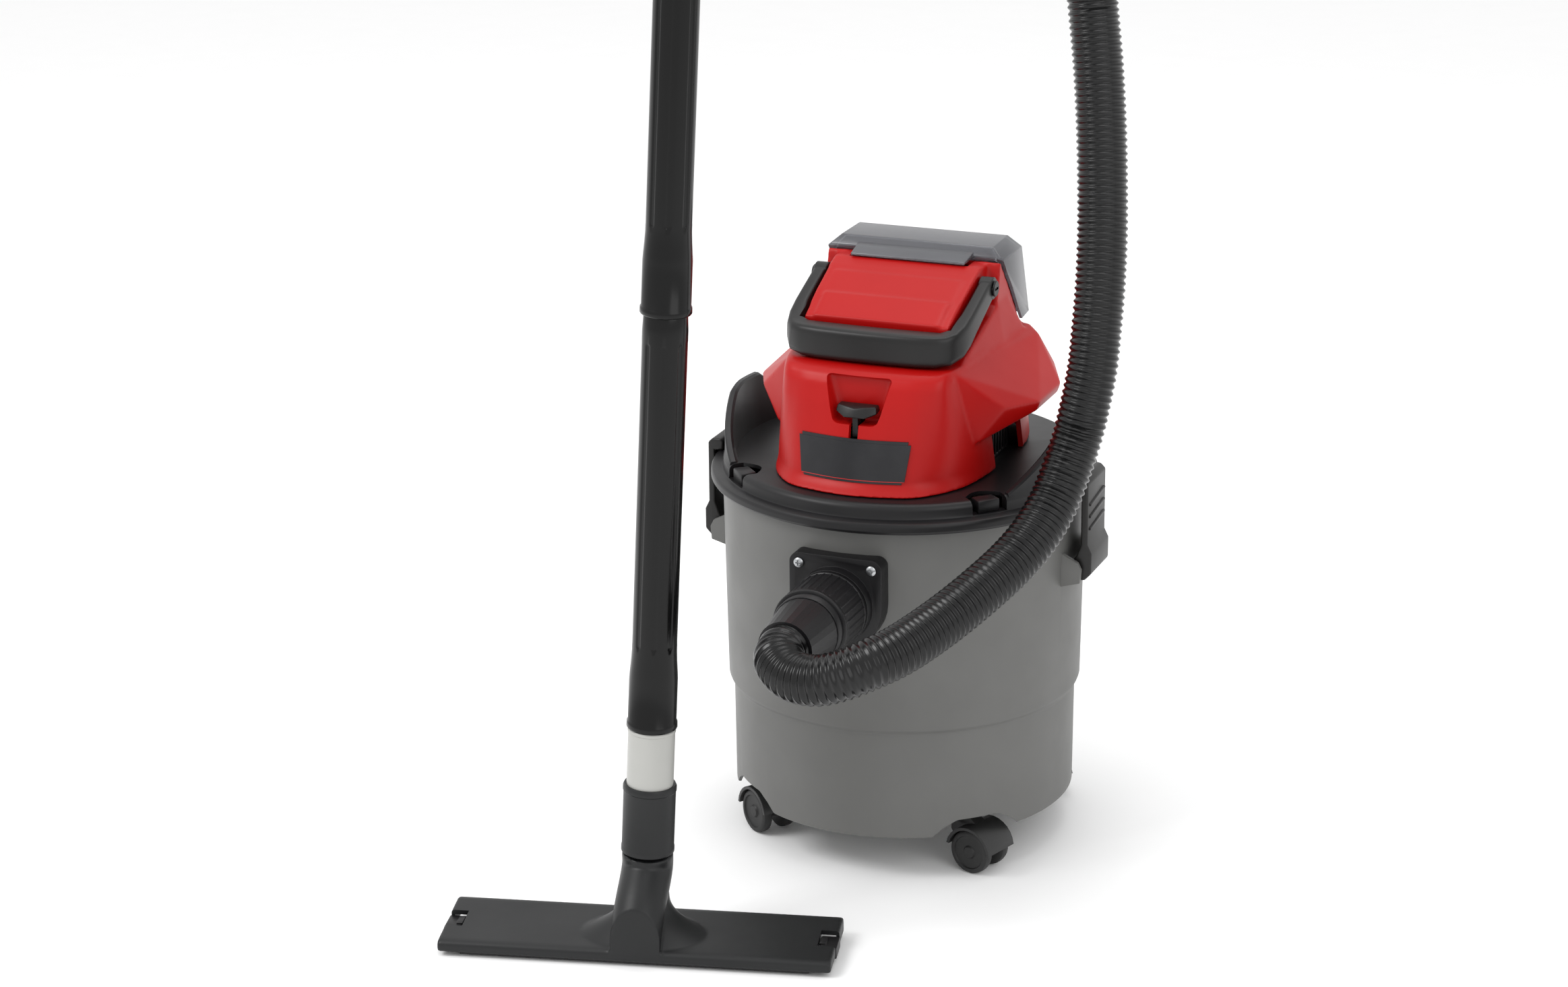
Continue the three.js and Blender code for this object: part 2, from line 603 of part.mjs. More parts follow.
// ---------- battery, dock and cover ----------
function buildBattery() {
  const dockHalf = batteryWidth / 2 + 1 + bayWall;
  const dock = cut(box(-dockHalf, dockHalf, bayFrontY, bayRearY, bayFloorZ, 462),
    box(-dockHalf + bayWall, dockHalf - bayWall, bayFrontY + bayWall, bayRearY - bayWall,
      bayFloorZ + bayWall, 500));
  place('battery_dock', dock, 'black');
  const y0 = bayFrontY + bayWall + 1;
  const y1 = bayRearY - bayWall - 1;
  const low = bayFloorZ + bayWall + gap;
  const half = batteryWidth / 2;
  const outline = new THREE.Shape([[-half + 6, y0], [half - 6, y0], [half, y0 + 6], [half, y1 - 10],
    [half - 10, y1], [-half + 10, y1], [-half, y1 - 10], [-half, y0 + 6]].map(([x,
      y]) => new THREE.Vector2(x, y)));
  const pack = cut(pushed(outline, low, batteryTopZ), box(-14.5, 14.5, y1 - 6, y1 + 1,
    batteryTopZ - 24, batteryTopZ + 1));
  place('battery_pack', pack, 'black');
  place('battery_button', box(-14, 14, y1 - 5.6, y1 - 1, batteryTopZ - 23, batteryTopZ - 3), 'red');
}

function coverForm(i) {
  const low = i > 0 ? 14 : 0;
  const ahead = i > 0 ? 8 : 0;
  const half = coverHalfWidth - i;
  return hull(mirrored([
    [half - 3, coverFrontY + i, 476.5 - i], [half - 10, coverFrontY + 6 + i, coverTopZ - 0.5 - i],
    [half - 11, 68 - i, coverTopZ - i], [half - 4, coverRearY - 8 - i, coverTopZ - 12 - i],
    [half, coverRearY - i, coverLowZ + 2 - low], [half, 73.5 - ahead, coverLowZ - low],
    [half, coverFrontY + i, 474.8 - low],
  ]));
}

function buildCover() {
  const behind = pushedAlongX([[-20, 300], [coverFrontY - 1, 470], [coverFrontY - 1, 474.6],
    [46, 449.4],
    [73, coverLowZ], [73, 300]], -90, 90);
  let cover = cut(coverForm(0), coverForm(coverWall), behind);
  const tab = hull(mirrored([[48, 6, 472.8], [48, 6, 475], [49, 27, 474.6], [49, 27, 478.6]]));
  cover = join(cover, tab.subtract(coverForm(coverWall)));
  for (const side of [1, -1]) {
    const knuckle = pushedAlongX([[coverRearY - 3, hingeZ + 14], [hingeY + 3, hingeZ + 6],
      [hingeY + 4.6, hingeZ],
      [hingeY + 1, hingeZ - 4.4], [hingeY - 3, hingeZ - 4], [coverRearY - 3, hingeZ - 2]], 36.6, 58);
    cover = cover.add(side > 0 ? knuckle : flippedX(knuckle));
  }
  cover = cover.subtract(box(-36.6, 36.6, coverRearY - 8, coverRearY + 20, coverLowZ - 10, hingeZ + 9));
  cover = cover.subtract(rod('x', hingePinRadius + gap, -90, 90, [hingeY, hingeZ]));
  place('battery_cover', cover, 'smoke');
  place('cover_hinge_pin', rod('x', hingePinRadius, -57, 57, [hingeY, hingeZ]), 'steel');
}

// ---------- latches ----------
function buildLatches() {
  const outline = [
    [148.6, 306.6], [148.6, 314], [151, 316.5], [158, 316.5], [162.2, 312.5], [162.2, 262],
      [165.6, 255],
    [165.6, 238], [160, 232], [152, 232], [149.4, 235.5], [148.8, 246], [153, 252], [156.6, 262],
      [156.6, 306.6],
  ];
  for (const [side, name] of [[-1, 'left'], [1, 'right']]) {
    let latch = pushedAlongY(outline, -latchHalfWidth, latchHalfWidth);
    for (const z of [274, 284, 294]) {
      latch = latch.subtract(box(161, 170, -latchHalfWidth + 5, latchHalfWidth - 5, z, z + 4));
    }
    latch = latch.subtract(rod('y', latchPinRadius + gap, -40, 40, [latchPivotX, latchPivotZ]));
    place(`latch_${name}`, side > 0 ? latch : flippedX(latch), 'black');
    const reach = latchHalfWidth + 2 * gap + earThickness + 0.5;
    const pin = rod('y', latchPinRadius, -reach, reach, [latchPivotX, latchPivotZ]);
    place(`latch_pin_${name}`, side > 0 ? pin : flippedX(pin), 'steel');
  }
}

// ---------- inlet ----------
function buildInlet() {
  const outline = new THREE.Shape();
  outline.moveTo(-inletFlangeRadius, inletZ);
  outline.absarc(0, inletZ, inletFlangeRadius, Math.PI, 2 * Math.PI, false);
  outline.lineTo(inletEarX + 8, inletZ + inletEarRise);
  outline.absarc(inletEarX, inletZ + inletEarRise, 8, 0, Math.PI / 2, false);
  outline.lineTo(-inletEarX, inletZ + inletEarRise + 8);
  outline.absarc(-inletEarX, inletZ + inletEarRise, 8, Math.PI / 2, Math.PI, false);
  const flange = new THREE.ExtrudeGeometry(outline, { depth: 40, bevelEnabled: false,
    curveSegments: 8 });
  flange.rotateX(Math.PI / 2).translate(0, inletFrontY + 40, 0);
  let bracket = cut(solid(flange), drumForm(gap));
  bracket = join(bracket, rod('y', socketOuter, inletFrontY - 10, inletFrontY + 1, [0, inletZ], 28));
  bracket = join(bracket, rod('y', socketBore, inletFrontY, -134, [0, inletZ], 28));
  bracket = cut(bracket, rod('y', 24.6, -180, -100, [0, inletZ], 28));
  for (const side of [-1, 1]) {
    bracket = bracket.subtract(rod('y', 2.1, -170, inletFrontY + 6, [side * inletEarX,
      inletZ + inletEarRise]));
  }
  place('inlet_bracket', bracket, 'black');
  for (const [side, name] of [[-1, 'left'], [1, 'right']]) {
    const at = [side * inletEarX, inletZ + inletEarRise];
    const screw = join(rod('y', 4, inletFrontY - 2.4, inletFrontY - gap, at, 14),
      rod('y', 1.7, inletFrontY - 1, inletFrontY + 5.6, at, 10));
    place(`inlet_screw_${name}`, screw, 'steel');
  }
  const hood = cut(rod('y', 34, -141, -104, [0, inletZ], 20), rod('y', 31.4, -142, -107, [0,
    inletZ], 20),
    box(-40, 40, -135, -100, inletZ - 40, inletZ - 6)).intersect(drumForm(-drumWall - 2 * gap));
  const plate = box(-60, 60, -200, -100, 100, 300).intersect(cut(drumForm(-drumWall - 2 * gap),
    drumForm(-drumWall - 3)));
  const brim = cut(plate.intersect(rod('y', 40, -160, -100, [0, inletZ], 20)),
    rod('y', socketBore + 2, -180, -100, [0, inletZ], 20));
  place('inlet_deflector', join(hood, brim), 'black');

  const y0 = inletFrontY - 10 - gap;
  const y1 = y0 - collarLength;
  let collar = join(rod('y', collarRadius, y1, y0, [0, inletZ], 28),
    rod('y', 24.1, y0 - 1, y0 + 22, [0, inletZ], 28),
    rod('y', 27.6, y1 - 8, y1 + 1, [0, inletZ], 28));
  for (let k = 0; k < 12; k += 1) {
    const a = (k + 0.5) * Math.PI / 6;
    const at = [Math.cos(a) * (collarRadius + 0.2), inletZ + Math.sin(a) * (collarRadius + 0.2)];
    collar = collar.add(rod('y', 1.3, y1 + 4, y0 - 6, at, 6));
  }
  collar = collar.subtract(rod('y', 20, -260, -100, [0, inletZ], 28));
  place('hose_collar', collar, 'black');
  const end = hoseRoute[0].y + gap;
  const cuff = cut(rod('y', 22, end, y1 - 8 - gap, [0, inletZ], 28, 26.4),
    rod('y', hoseBore, -300, -100, [0, inletZ], 28));
  place('hose_cuff', cuff, 'black');
}

function buildHose() {
  const curve = new THREE.CatmullRomCurve3(hoseRoute, false, 'catmullrom', 0.5);
  place('hose', piped(curve, hoseRadius, hoseSteps, 10), 'hose');
}

// ---------- motor, float and filter ----------
function buildMotor() {
  const housing = turned([
    [22, deckZ - 0.5 + 2 * gap], [motorHousingRadius + 12, deckZ + gap],
      [motorHousingRadius + 12, deckZ + 3],
    [motorHousingRadius, deckZ + 3], [motorHousingRadius, 346], [34, 350], [34, motorTopZ],
      [8, motorTopZ],
    [8, motorTopZ - 2.5], [31.5, motorTopZ - 2.5], [31.5, 347.6], [motorHousingRadius - 2.5, 344],
    [motorHousingRadius - 2.5, deckZ + 3], [22, deckZ + 3],
  ], 26);
  let body = housing;
  for (let k = 0; k < 6; k += 1) {
    const slot = box(motorHousingRadius - 10, motorHousingRadius + 10, -6, 6, 328, 341);
    body = body.subtract(turnedZ(slot, k * Math.PI / 3));
  }
  place('motor_housing', body, 'black');
  place('motor_stator', turned([[24, 349], [31, 349], [31, 373], [24, 373]], 28), 'steel');
  const rotor = join(rod('z', 3, 321.5, 384, [0, 0], 14), rod('z', 23.2, 350, 370, [0, 0], 24),
    rod('z', 10, 370, 374, [0, 0], 16));
  place('motor_rotor', rotor, 'copper');
  let fan = turned([[3 + gap, 323], [fanRadius, 323], [fanRadius, 324.5], [10, 324.5],
    [10, 336], [3 + gap, 336]], 28);
  for (let k = 0; k < 7; k += 1) {
    fan = fan.add(turnedZ(box(9, fanRadius - 1, -0.8, 0.8, 324, 334), k * 2 * Math.PI / 7));
  }
  place('fan_impeller', fan, 'white');
  place('control_board', box(-34, 34, -84, -82, 330, 366), 'board');
}

function buildFilter() {
  const top = deckZ - deckWall - gap;
  let cage = turned([
    [cageRadius + 8, top], [cageRadius + 8, top - 3], [cageRadius, top - 3], [cageRadius, cageBottomZ],
    [6, cageBottomZ], [6, cageBottomZ + 2.5], [cageRadius - 2.4, cageBottomZ + 2.5],
      [cageRadius - 2.4, top - 3],
    [26, top - 3], [26, top],
  ], 28);
  for (let k = 0; k < 6; k += 1) {
    for (const z of [210, 258]) {
      const window = box(cageRadius - 8, cageRadius + 4, -9, 9, z, z + 38);
      cage = cage.subtract(turnedZ(window, k * Math.PI / 3));
    }
  }
  for (let k = 0; k < 4; k += 1) {
    const guide = box(floatRadius + 1, cageRadius - 1, -1.2, 1.2, cageBottomZ + 1, top - 3 - 1);
    cage = cage.add(turnedZ(guide, k * Math.PI / 2 + 0.4));
  }
  place('filter_cage', cage, 'black');
  place('float_ball', solid(new THREE.SphereGeometry(floatRadius, 16, 10).translate(0, 0,
    cageBottomZ + 3 + floatRadius)),
    'white');
  const star = [];
  const points = filterPleats * 2;
  for (let k = 0; k < points; k += 1) {
    const a = (k / points) * 2 * Math.PI;
    const r = k % 2 ? filterRadius - 10 : filterRadius - 2;
    star.push(new THREE.Vector2(r * Math.cos(a), r * Math.sin(a)));
  }
  const outline = new THREE.Shape(star);
  outline.holes.push(new THREE.Path(ring(filterBore + 2, 30).reverse()));
  place('filter', pushed(outline, filterBottomZ + 8 + gap, top - 6), 'paper');
  place('filter_cap', turned([[filterBore - 3.4 + 1, filterBottomZ + 8],
    [filterRadius, filterBottomZ + 8],
    [filterRadius, filterBottomZ + 2], [filterRadius - 6, filterBottomZ], [0, filterBottomZ],
      [0, cageBottomZ - gap],
    [filterBore - 3.4 + 1, cageBottomZ - gap]], 36), 'rubber');
}

// ---------- wand, hand-piece and nozzle ----------
const wand = new THREE.Group();
wand.position.copy(neckTop);
wand.quaternion.setFromUnitVectors(v(0, 0, 1), wandLean);
vacuum.add(wand);

/** One fluted plastic tube of the wand, with a flared lower end. */
function flutedTube(low, length) {
  const high = low + length;
  let tube = turned([
    [wandBore, low], [wandRadius + wandGrip + 0.8, low], [wandRadius + wandGrip, low + 5],
    [wandRadius + wandGrip, low + 40], [wandRadius, low + 62], [wandRadius, high - 12],
    [wandRadius - 0.8, high], [wandBore, high],
  ], 24);
  const flutes = 8;
  for (let k = 0; k < flutes; k += 1) {
    const flute = box(wandRadius - 0.7, wandRadius + 3, -2, 2, low + 66, high - 18);
    tube = tube.subtract(turnedZ(flute, (k / flutes) * 2 * Math.PI));
  }
  return tube;
}

function buildWand() {
  place('nozzle_collar', turned([[wandRadius + 1.2, gap], [neckRadius, gap], [neckRadius + 0.4, 4],
    [neckRadius, collarHeight - 2], [neckRadius - 0.8, collarHeight],
      [wandRadius + 1.2, collarHeight]], 32), 'black', wand);
  place('end_tube', turned([[wandBore, 6], [wandRadius + 0.9, 6],
    [wandRadius + 0.9, collarHeight + endTubeShown - gap],
    [wandBore, collarHeight + endTubeShown - gap]], 32), 'tube', wand);
  const low = collarHeight + endTubeShown;
  place('wand_lower', flutedTube(low, wandLength), 'black', wand);
  const middle = low + wandLength + gap;
  place('wand_upper', flutedTube(middle, wandLength), 'black', wand);
  buildHandPiece(middle + wandLength + gap);
}

/** The bent grip on top of the wand: its far end points where the hose arrives. */
function buildHandPiece(low) {
  wand.updateMatrixWorld(true);
  const toWand = wand.matrixWorld.clone().invert();
  const hoseEnd = hoseRoute.at(-1).clone().applyMatrix4(toWand);
  const out = hoseRoute.at(-2).clone().sub(hoseRoute.at(-1)).normalize().transformDirection(toWand);
  const cuffStart = hoseEnd.clone().addScaledVector(out, -cuffLength - gap);
  const knee = v(0, 0, low + handPieceRise);
  const shoulder = cuffStart.clone().addScaledVector(out, -handPieceReach);
  const pull = knee.distanceTo(shoulder) * 0.35;
  const bend = new THREE.CubicBezierCurve3(knee, knee.clone().setZ(knee.z + pull),
    shoulder.clone().addScaledVector(out, -pull), shoulder);
  const points = [v(0, 0, low), v(0, 0, low + handPieceRise / 2), ...bend.getPoints(5), cuffStart];
  const curve = new THREE.CatmullRomCurve3(points, false, 'catmullrom', 0.5);
  const grip = piped(curve, wandRadius + 2, 10, 14, wandBore);
  const sliderSeat = box(-wandRadius - 2.6, -wandRadius + 0.2, -7, 7, low + 9, low + 34);
  const beyondEnd = piped(new THREE.LineCurve3(cuffStart, cuffStart.clone().addScaledVector(out, 60)),
    3 * wandRadius, 1, 12);
  place('hand_piece', cut(grip, sliderSeat, beyondEnd), 'black', wand);
  const slider = box(-wandRadius - 2.2, -wandRadius - 0.2, -6.5, 6.5, low + 10, low + 22);
  place('air_slider', slider, 'red', wand);
  const cuffLine = new THREE.LineCurve3(cuffStart.clone().addScaledVector(out, gap),
    hoseEnd.clone().addScaledVector(out, -gap));
  place('hose_end_cuff', piped(cuffLine, hoseRadius + 3.2, 1, 16, hoseBore), 'black', wand);
}

function buildNozzle() {
  const nozzle = new THREE.Group();
  nozzle.position.set(nozzleX, nozzleY, 0);
  nozzle.rotation.z = nozzleTurn;
  vacuum.add(nozzle);
  nozzle.updateMatrixWorld(true);
  const half = nozzleLength / 2;
  const deep = nozzleDepth / 2;
  const neck = nozzle.worldToLocal(neckTop.clone());
  const lean = wandLean.clone().transformDirection(nozzle.matrixWorld.clone().invert());
  const plate = pushedAlongX([
    [-deep, nozzleFoot], [-deep, nozzleFrontHeight - 2], [-deep + 2.5, nozzleFrontHeight],
    [deep - 3, nozzleRearHeight], [deep, nozzleRearHeight - 2.5], [deep, nozzleFoot],
  ], -half, half);
  const inner = deep - nozzleShell;
  const hollow = pushedAlongX([
    [-inner, 0], [-inner, nozzleFrontHeight - nozzleShell - 1],
      [inner, nozzleRearHeight - nozzleShell - 1], [inner, 0],
  ], -half + nozzleShell, half - nozzleShell);

  // the neck rises from the front edge and turns upright under the wand
  const upright = v(neck.x, neck.y, neck.z).addScaledVector(lean, -16);
  const top = neck.clone().addScaledVector(lean, -gap);
  const neckLine = new THREE.CatmullRomCurve3([v(neck.x - 3, -deep - 6, 10),
    v(neck.x - 2, -20, 38), upright, top],
    false, 'catmullrom', 0.5);
  const neckTube = piped(neckLine, neckRadius - 0.4, 8, 24).intersect(box(-60, 60, -deep, 60,
    nozzleFoot, 90));
  const flare = hull(mirrored([
    [40, -22, nozzleFrontHeight - 1], [40, deep - 6, nozzleRearHeight - 2], [14, -20, 27], [14, 20, 40],
  ]));
  const boreLine = new THREE.CatmullRomCurve3([v(neck.x - 2, -22, 12), v(neck.x - 1, -13, 40), upright,
    neck.clone().addScaledVector(lean, 4)], false, 'catmullrom', 0.5);
  const bore = join(piped(boreLine, wandBore, 8, 16), rod('z', wandBore - 1, 0, 20, [neck.x - 2,
    -21], 16));
  const above = piped(new THREE.LineCurve3(top, neck.clone().addScaledVector(lean, 60)),
    2 * neckRadius, 1, 12);
  let body = cut(join(plate, neckTube, shifted(flare, neck.x, 0, 0)), hollow, bore, above);
  const notch = box(half - 14, half + 1, -12, 12, 0, nozzleRearHeight + 1);
  body = cut(body, notch, flippedX(notch));
  place('nozzle_body', body, 'black', nozzle);

  const stripSeat = box(-half + 20, half - 20, -deep + 6, -deep + 9.6, 0, 5.7);
  const insert = cut(
    box(-half + 17, half - 17, -inner + gap, inner - gap, 1.6, 7.6),
    box(-half + 34, half - 34, -deep + 15, deep - 15, 0, 12),
    stripSeat, moved(stripSeat, new THREE.Matrix4().makeScale(1, -1, 1)),
  );
  place('nozzle_insert', insert, 'black', nozzle);
  const strip = box(-half + 20.4, half - 20.4, -deep + 6.4, -deep + 9.2, 0, 5.4);
  place('squeegee_front', strip, 'rubber', nozzle);
  place('squeegee_rear', moved(strip, new THREE.Matrix4().makeScale(1, -1, 1)), 'rubber', nozzle);
  for (const [side, name] of [[-1, 'left'], [1, 'right']]) {
    const clip = join(box(half - 13, half + 0.6, -11, 11, nozzleFoot, 12),
      box(half - 13, half - 8, -6, 6, 2.5, 14));
    place(`nozzle_clip_${name}`, side > 0 ? clip : flippedX(clip), 'black', nozzle);
  }
}

buildDrum();
buildCasters();
buildHeadBase();
buildCowl();
buildBlowerPort();
buildSwitch();
buildHandle();
buildBattery();
buildCover();
buildLatches();
buildInlet();
buildHose();
buildMotor();
buildFilter();
buildWand();
buildNozzle();

// ---------- the set's own frame ----------
const footprint = new THREE.Box3();
vacuum.updateMatrixWorld(true);
vacuum.traverse((piece) => {
  if (piece.isMesh && !['hose', 'hose_cuff',
    'hose_end_cuff'].includes(piece.name)) footprint.expandByObject(piece, true);
});
const middle = footprint.getCenter(new THREE.Vector3());
vacuum.position.set(-middle.x, -middle.y, 0);

export default vacuum;
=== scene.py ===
"""A cordless wet and dry shop vacuum with its hose, wand and floor nozzle, dressed around its frame."""

import logging
import math
from collections.abc import Callable, Iterable, Sequence
from dataclasses import dataclass, field
from enum import Enum

import bmesh
import bpy
from mathutils import Matrix, Vector


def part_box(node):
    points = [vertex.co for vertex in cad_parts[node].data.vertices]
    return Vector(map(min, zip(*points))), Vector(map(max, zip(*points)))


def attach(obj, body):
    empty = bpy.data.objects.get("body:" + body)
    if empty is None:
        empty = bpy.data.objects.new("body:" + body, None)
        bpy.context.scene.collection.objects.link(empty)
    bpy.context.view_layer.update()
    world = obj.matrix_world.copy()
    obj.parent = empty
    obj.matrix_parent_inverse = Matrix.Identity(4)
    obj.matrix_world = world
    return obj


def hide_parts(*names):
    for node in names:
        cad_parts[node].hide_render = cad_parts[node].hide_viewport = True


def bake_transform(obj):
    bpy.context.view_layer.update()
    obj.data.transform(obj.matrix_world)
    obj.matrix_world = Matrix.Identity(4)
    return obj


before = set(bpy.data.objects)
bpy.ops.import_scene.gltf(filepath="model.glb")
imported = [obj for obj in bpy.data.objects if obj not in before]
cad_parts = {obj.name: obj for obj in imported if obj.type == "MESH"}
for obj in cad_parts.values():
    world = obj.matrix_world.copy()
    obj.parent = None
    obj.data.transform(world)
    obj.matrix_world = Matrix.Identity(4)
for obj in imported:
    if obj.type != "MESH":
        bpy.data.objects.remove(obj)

log = logging.getLogger("shop_vacuum")
MM = 0.001
Point = tuple[float, float, float]
Outline = Sequence[tuple[float, float]]


# ---------- the machine's own axis ----------
def drum_axis() -> Vector:
    """Returns the point on the floor under the drum's axis, in metres."""
    low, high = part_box("drum")
    return Vector(((low.x + high.x) / 2, (low.y + high.y) / 2, 0.0))


AXIS = drum_axis()


def at(x: float, y: float, z: float) -> Vector:
    """Returns a point given in millimetres from the drum's axis as a point of the row frame, in metres."""
    return AXIS + Vector((x, y, z)) * MM


def place_matrix(x: float = 0.0, y: float = 0.0, z: float = 0.0, turn: float = 0.0) -> Matrix:
    """Places a form that was drawn about the origin.

    Args:
        x, y, z: millimetres from the drum's axis.
        turn: radians about the upright.

    Returns:
        The matrix, in metres.
    """
    return Matrix.Translation(at(x, y, z)) @ Matrix.Rotation(turn, 4, "Z")


def aimed(origin: Vector, direction: Vector) -> Matrix:
    """Returns the matrix that stands a form's Z axis on origin, along direction."""
    return Matrix.Translation(origin) @ direction.to_track_quat("Z", "Y").to_matrix().to_4x4()


# ---------- finishes ----------
def linear(code: str) -> tuple[float, float, float, float]:
    """Returns an sRGB hex colour as linear red, green, blue and an alpha of 1."""
    parts = [int(code[i : i + 2], 16) / 255 for i in (1, 3, 5)]
    flat = [p / 12.92 if p <= 0.04045 else ((p + 0.055) / 1.055) ** 2.4 for p in parts]
    return (flat[0], flat[1], flat[2], 1.0)


def add_node(tree: bpy.types.NodeTree, kind: str, settings: dict | None = None, **links: object) -> bpy.types.Node:
    """Adds a node with its settings and its inputs.

    Args:
        tree: the tree that takes the node.
        kind: the node's type name.
        settings: attributes of the node itself.
        links: input name or _number to a socket or a value; an underscore stands for a space.

    Returns:
        The node.
    """
    node = tree.nodes.new(kind)
    for key, value in (settings or {}).items():
        setattr(node, key, value)
    for key, value in links.items():
        socket = node.inputs[int(key[1:])] if key[0] == "_" else node.inputs[key.replace("_", " ")]
        if isinstance(value, bpy.types.NodeSocket):
            tree.links.new(value, socket)
        else:
            socket.default_value = value
    return node


class Surface(Enum):
    """How a surface was made, which sets the shape of its fine detail."""

    GRAINED = "moulded against a spark-eroded tool"
    POLISHED = "moulded against a polished tool"
    BRUSHED = "brushed along X"
    RUBBERY = "moulded rubber with a dusty bloom"
    FIBROUS = "laid paper fibre"
    METAL = "drawn or turned metal"


@dataclass(frozen=True)
class Finish:
    """One finish: what the thing is made of and how its surface was made."""

    name: str
    tint: str
    shade: str
    roughness: float
    surface: Surface = Surface.GRAINED
    metallic: float = 0.0
    transmission: float = 0.0
    ior: float = 1.5
    grain_mm: float = 1.1
    depth_mm: float = 0.035
    cloud_mm: float = 55.0

    def build(self) -> bpy.types.Material:
        """Returns the material, which is built once."""
        known = bpy.data.materials.get(self.name)
        if known:
            return known
        material = bpy.data.materials.new(self.name)
        material.use_nodes = True
        tree = material.node_tree
        tree.nodes.clear()
        coords = add_node(tree, "ShaderNodeTexCoord").outputs["Object"]
        stretch = (1.0, 1.0, 1.0)
        if self.surface is Surface.BRUSHED:
            stretch = (0.02, 1.0, 1.0)
        elif self.surface is Surface.FIBROUS:
            stretch = (1.0, 1.0, 0.2)
        fitted = add_node(tree, "ShaderNodeMapping", Vector=coords, Scale=stretch).outputs[0]
        grain = add_node(tree, "ShaderNodeTexNoise", Vector=fitted, Scale=1 / (self.grain_mm * MM), Detail=3.0)
        cloud = add_node(tree, "ShaderNodeTexNoise", Vector=coords, Scale=1 / (self.cloud_mm * MM), Detail=4.0)
        colour = add_node(tree, "ShaderNodeMix", {"data_type": "RGBA"}, _0=cloud.outputs[0], _6=linear(self.tint),
                          _7=linear(self.shade)).outputs[2]
        spread = 0.06 if self.surface is Surface.POLISHED else 0.14
        rough = add_node(tree, "ShaderNodeMapRange", _0=cloud.outputs[0], _3=self.roughness - spread / 2,
                         _4=self.roughness + spread)
        bump = add_node(tree, "ShaderNodeBump", Strength=1.0, Distance=self.depth_mm * MM, Height=grain.outputs[0])
        shader = add_node(tree, "ShaderNodeBsdfPrincipled", Base_Color=colour, Roughness=rough.outputs[0],
                          Metallic=self.metallic, IOR=self.ior, Transmission_Weight=self.transmission,
                          Normal=bump.outputs[0])
        add_node(tree, "ShaderNodeOutputMaterial", Surface=shader.outputs[0])
        return material


# polypropylene with fillers for stiffness: a dull warm grey that scatters a broad soft highlight
DRUM_GREY = Finish("polypropylene_moulded_grey", "#646462", "#5b5b59", 0.44, grain_mm=0.9, depth_mm=0.03)
# ABS from a fine-grained tool: a strong red with a satin sheen
COWL_RED = Finish("abs_moulded_red", "#ad0a08", "#a30706", 0.36, grain_mm=0.8, depth_mm=0.018, ior=1.33)
# black polypropylene: nearly black, with a grey bloom at grazing light
HEAD_BLACK = Finish("polypropylene_moulded_black", "#121113", "#0e0d0f", 0.38, depth_mm=0.03, ior=1.42)
# glass-filled nylon: a little lighter than the black around it, and satin
HANDLE_BLACK = Finish("nylon_moulded_black", "#161515", "#121111", 0.34, grain_mm=0.7, depth_mm=0.02, ior=1.42)
LATCH_BLACK = Finish("nylon_moulded_latch_black", "#161514", "#121110", 0.36, grain_mm=0.7, depth_mm=0.02,
                     ior=1.42)
# tinted polycarbonate: a clean gloss over a smoky body that lets some light through
COVER_SMOKE = Finish("polycarbonate_moulded_smoke", "#85868c", "#797a80", 0.2, Surface.POLISHED, transmission=0.72,
                     ior=1.58, depth_mm=0.004, grain_mm=3.0)
# brushed foil laminate: fine level lines that stretch the highlight sideways
PLATE_DARK = Finish("aluminium_foil_brushed_dark", "#3a3a3c", "#2b2b2d", 0.34, Surface.BRUSHED, metallic=0.7,
                    grain_mm=0.5, depth_mm=0.02, cloud_mm=20.0)
TRIM_RED = Finish("polypropylene_moulded_red", "#c01c1c", "#b01616", 0.35, Surface.POLISHED, depth_mm=0.008)
# blow-moulded polyethylene: waxy black with long bright highlights on each rib
HOSE_BLACK = Finish("polyethylene_blown_black", "#0e0e0f", "#0b0b0b", 0.22, Surface.POLISHED, depth_mm=0.006,
                    grain_mm=2.0, ior=1.4)
WAND_BLACK = Finish("polypropylene_extruded_black", "#0a0a0a", "#070707", 0.2, Surface.POLISHED, depth_mm=0.006,
                    grain_mm=2.5, ior=1.34)
END_TUBE_GREY = Finish("polypropylene_moulded_light_grey", "#acaca8", "#a4a4a0", 0.3, Surface.POLISHED,
                       depth_mm=0.006)
NOZZLE_BLACK = Finish("polypropylene_moulded_charcoal", "#161718", "#121314", 0.4, grain_mm=1.2, depth_mm=0.04,
                      ior=1.42)
CASTER_BLACK = Finish("nylon_moulded_caster_black", "#242424", "#1d1d1d", 0.42)
WHEEL_BLACK = Finish("polyamide_moulded_wheel_black", "#1e1e1e", "#181818", 0.5)
# nitrile rubber: matt, with a faint grey dust in its pores
RUBBER = Finish("nitrile_rubber_moulded", "#1b1b1b", "#262625", 0.74, Surface.RUBBERY, grain_mm=1.6, depth_mm=0.05)
# zinc-plated steel: a cool bright metal with fine turning marks
STEEL = Finish("steel_zinc_plated", "#c2c4c6", "#adafb1", 0.3, Surface.METAL, metallic=1.0, grain_mm=0.4,
               depth_mm=0.01)
COPPER = Finish("copper_wound", "#b87447", "#9a5a34", 0.4, Surface.METAL, metallic=1.0, grain_mm=0.5, depth_mm=0.05)
LAMINATION = Finish("steel_laminated", "#7a7c80", "#64666a", 0.45, Surface.METAL, metallic=1.0, grain_mm=0.5)
NYLON_WHITE = Finish("nylon_moulded_white", "#dddcd6", "#d2d1ca", 0.42, depth_mm=0.015)
BOARD_GREEN = Finish("epoxy_board_green", "#1f5a38", "#174a2d", 0.38, Surface.POLISHED)
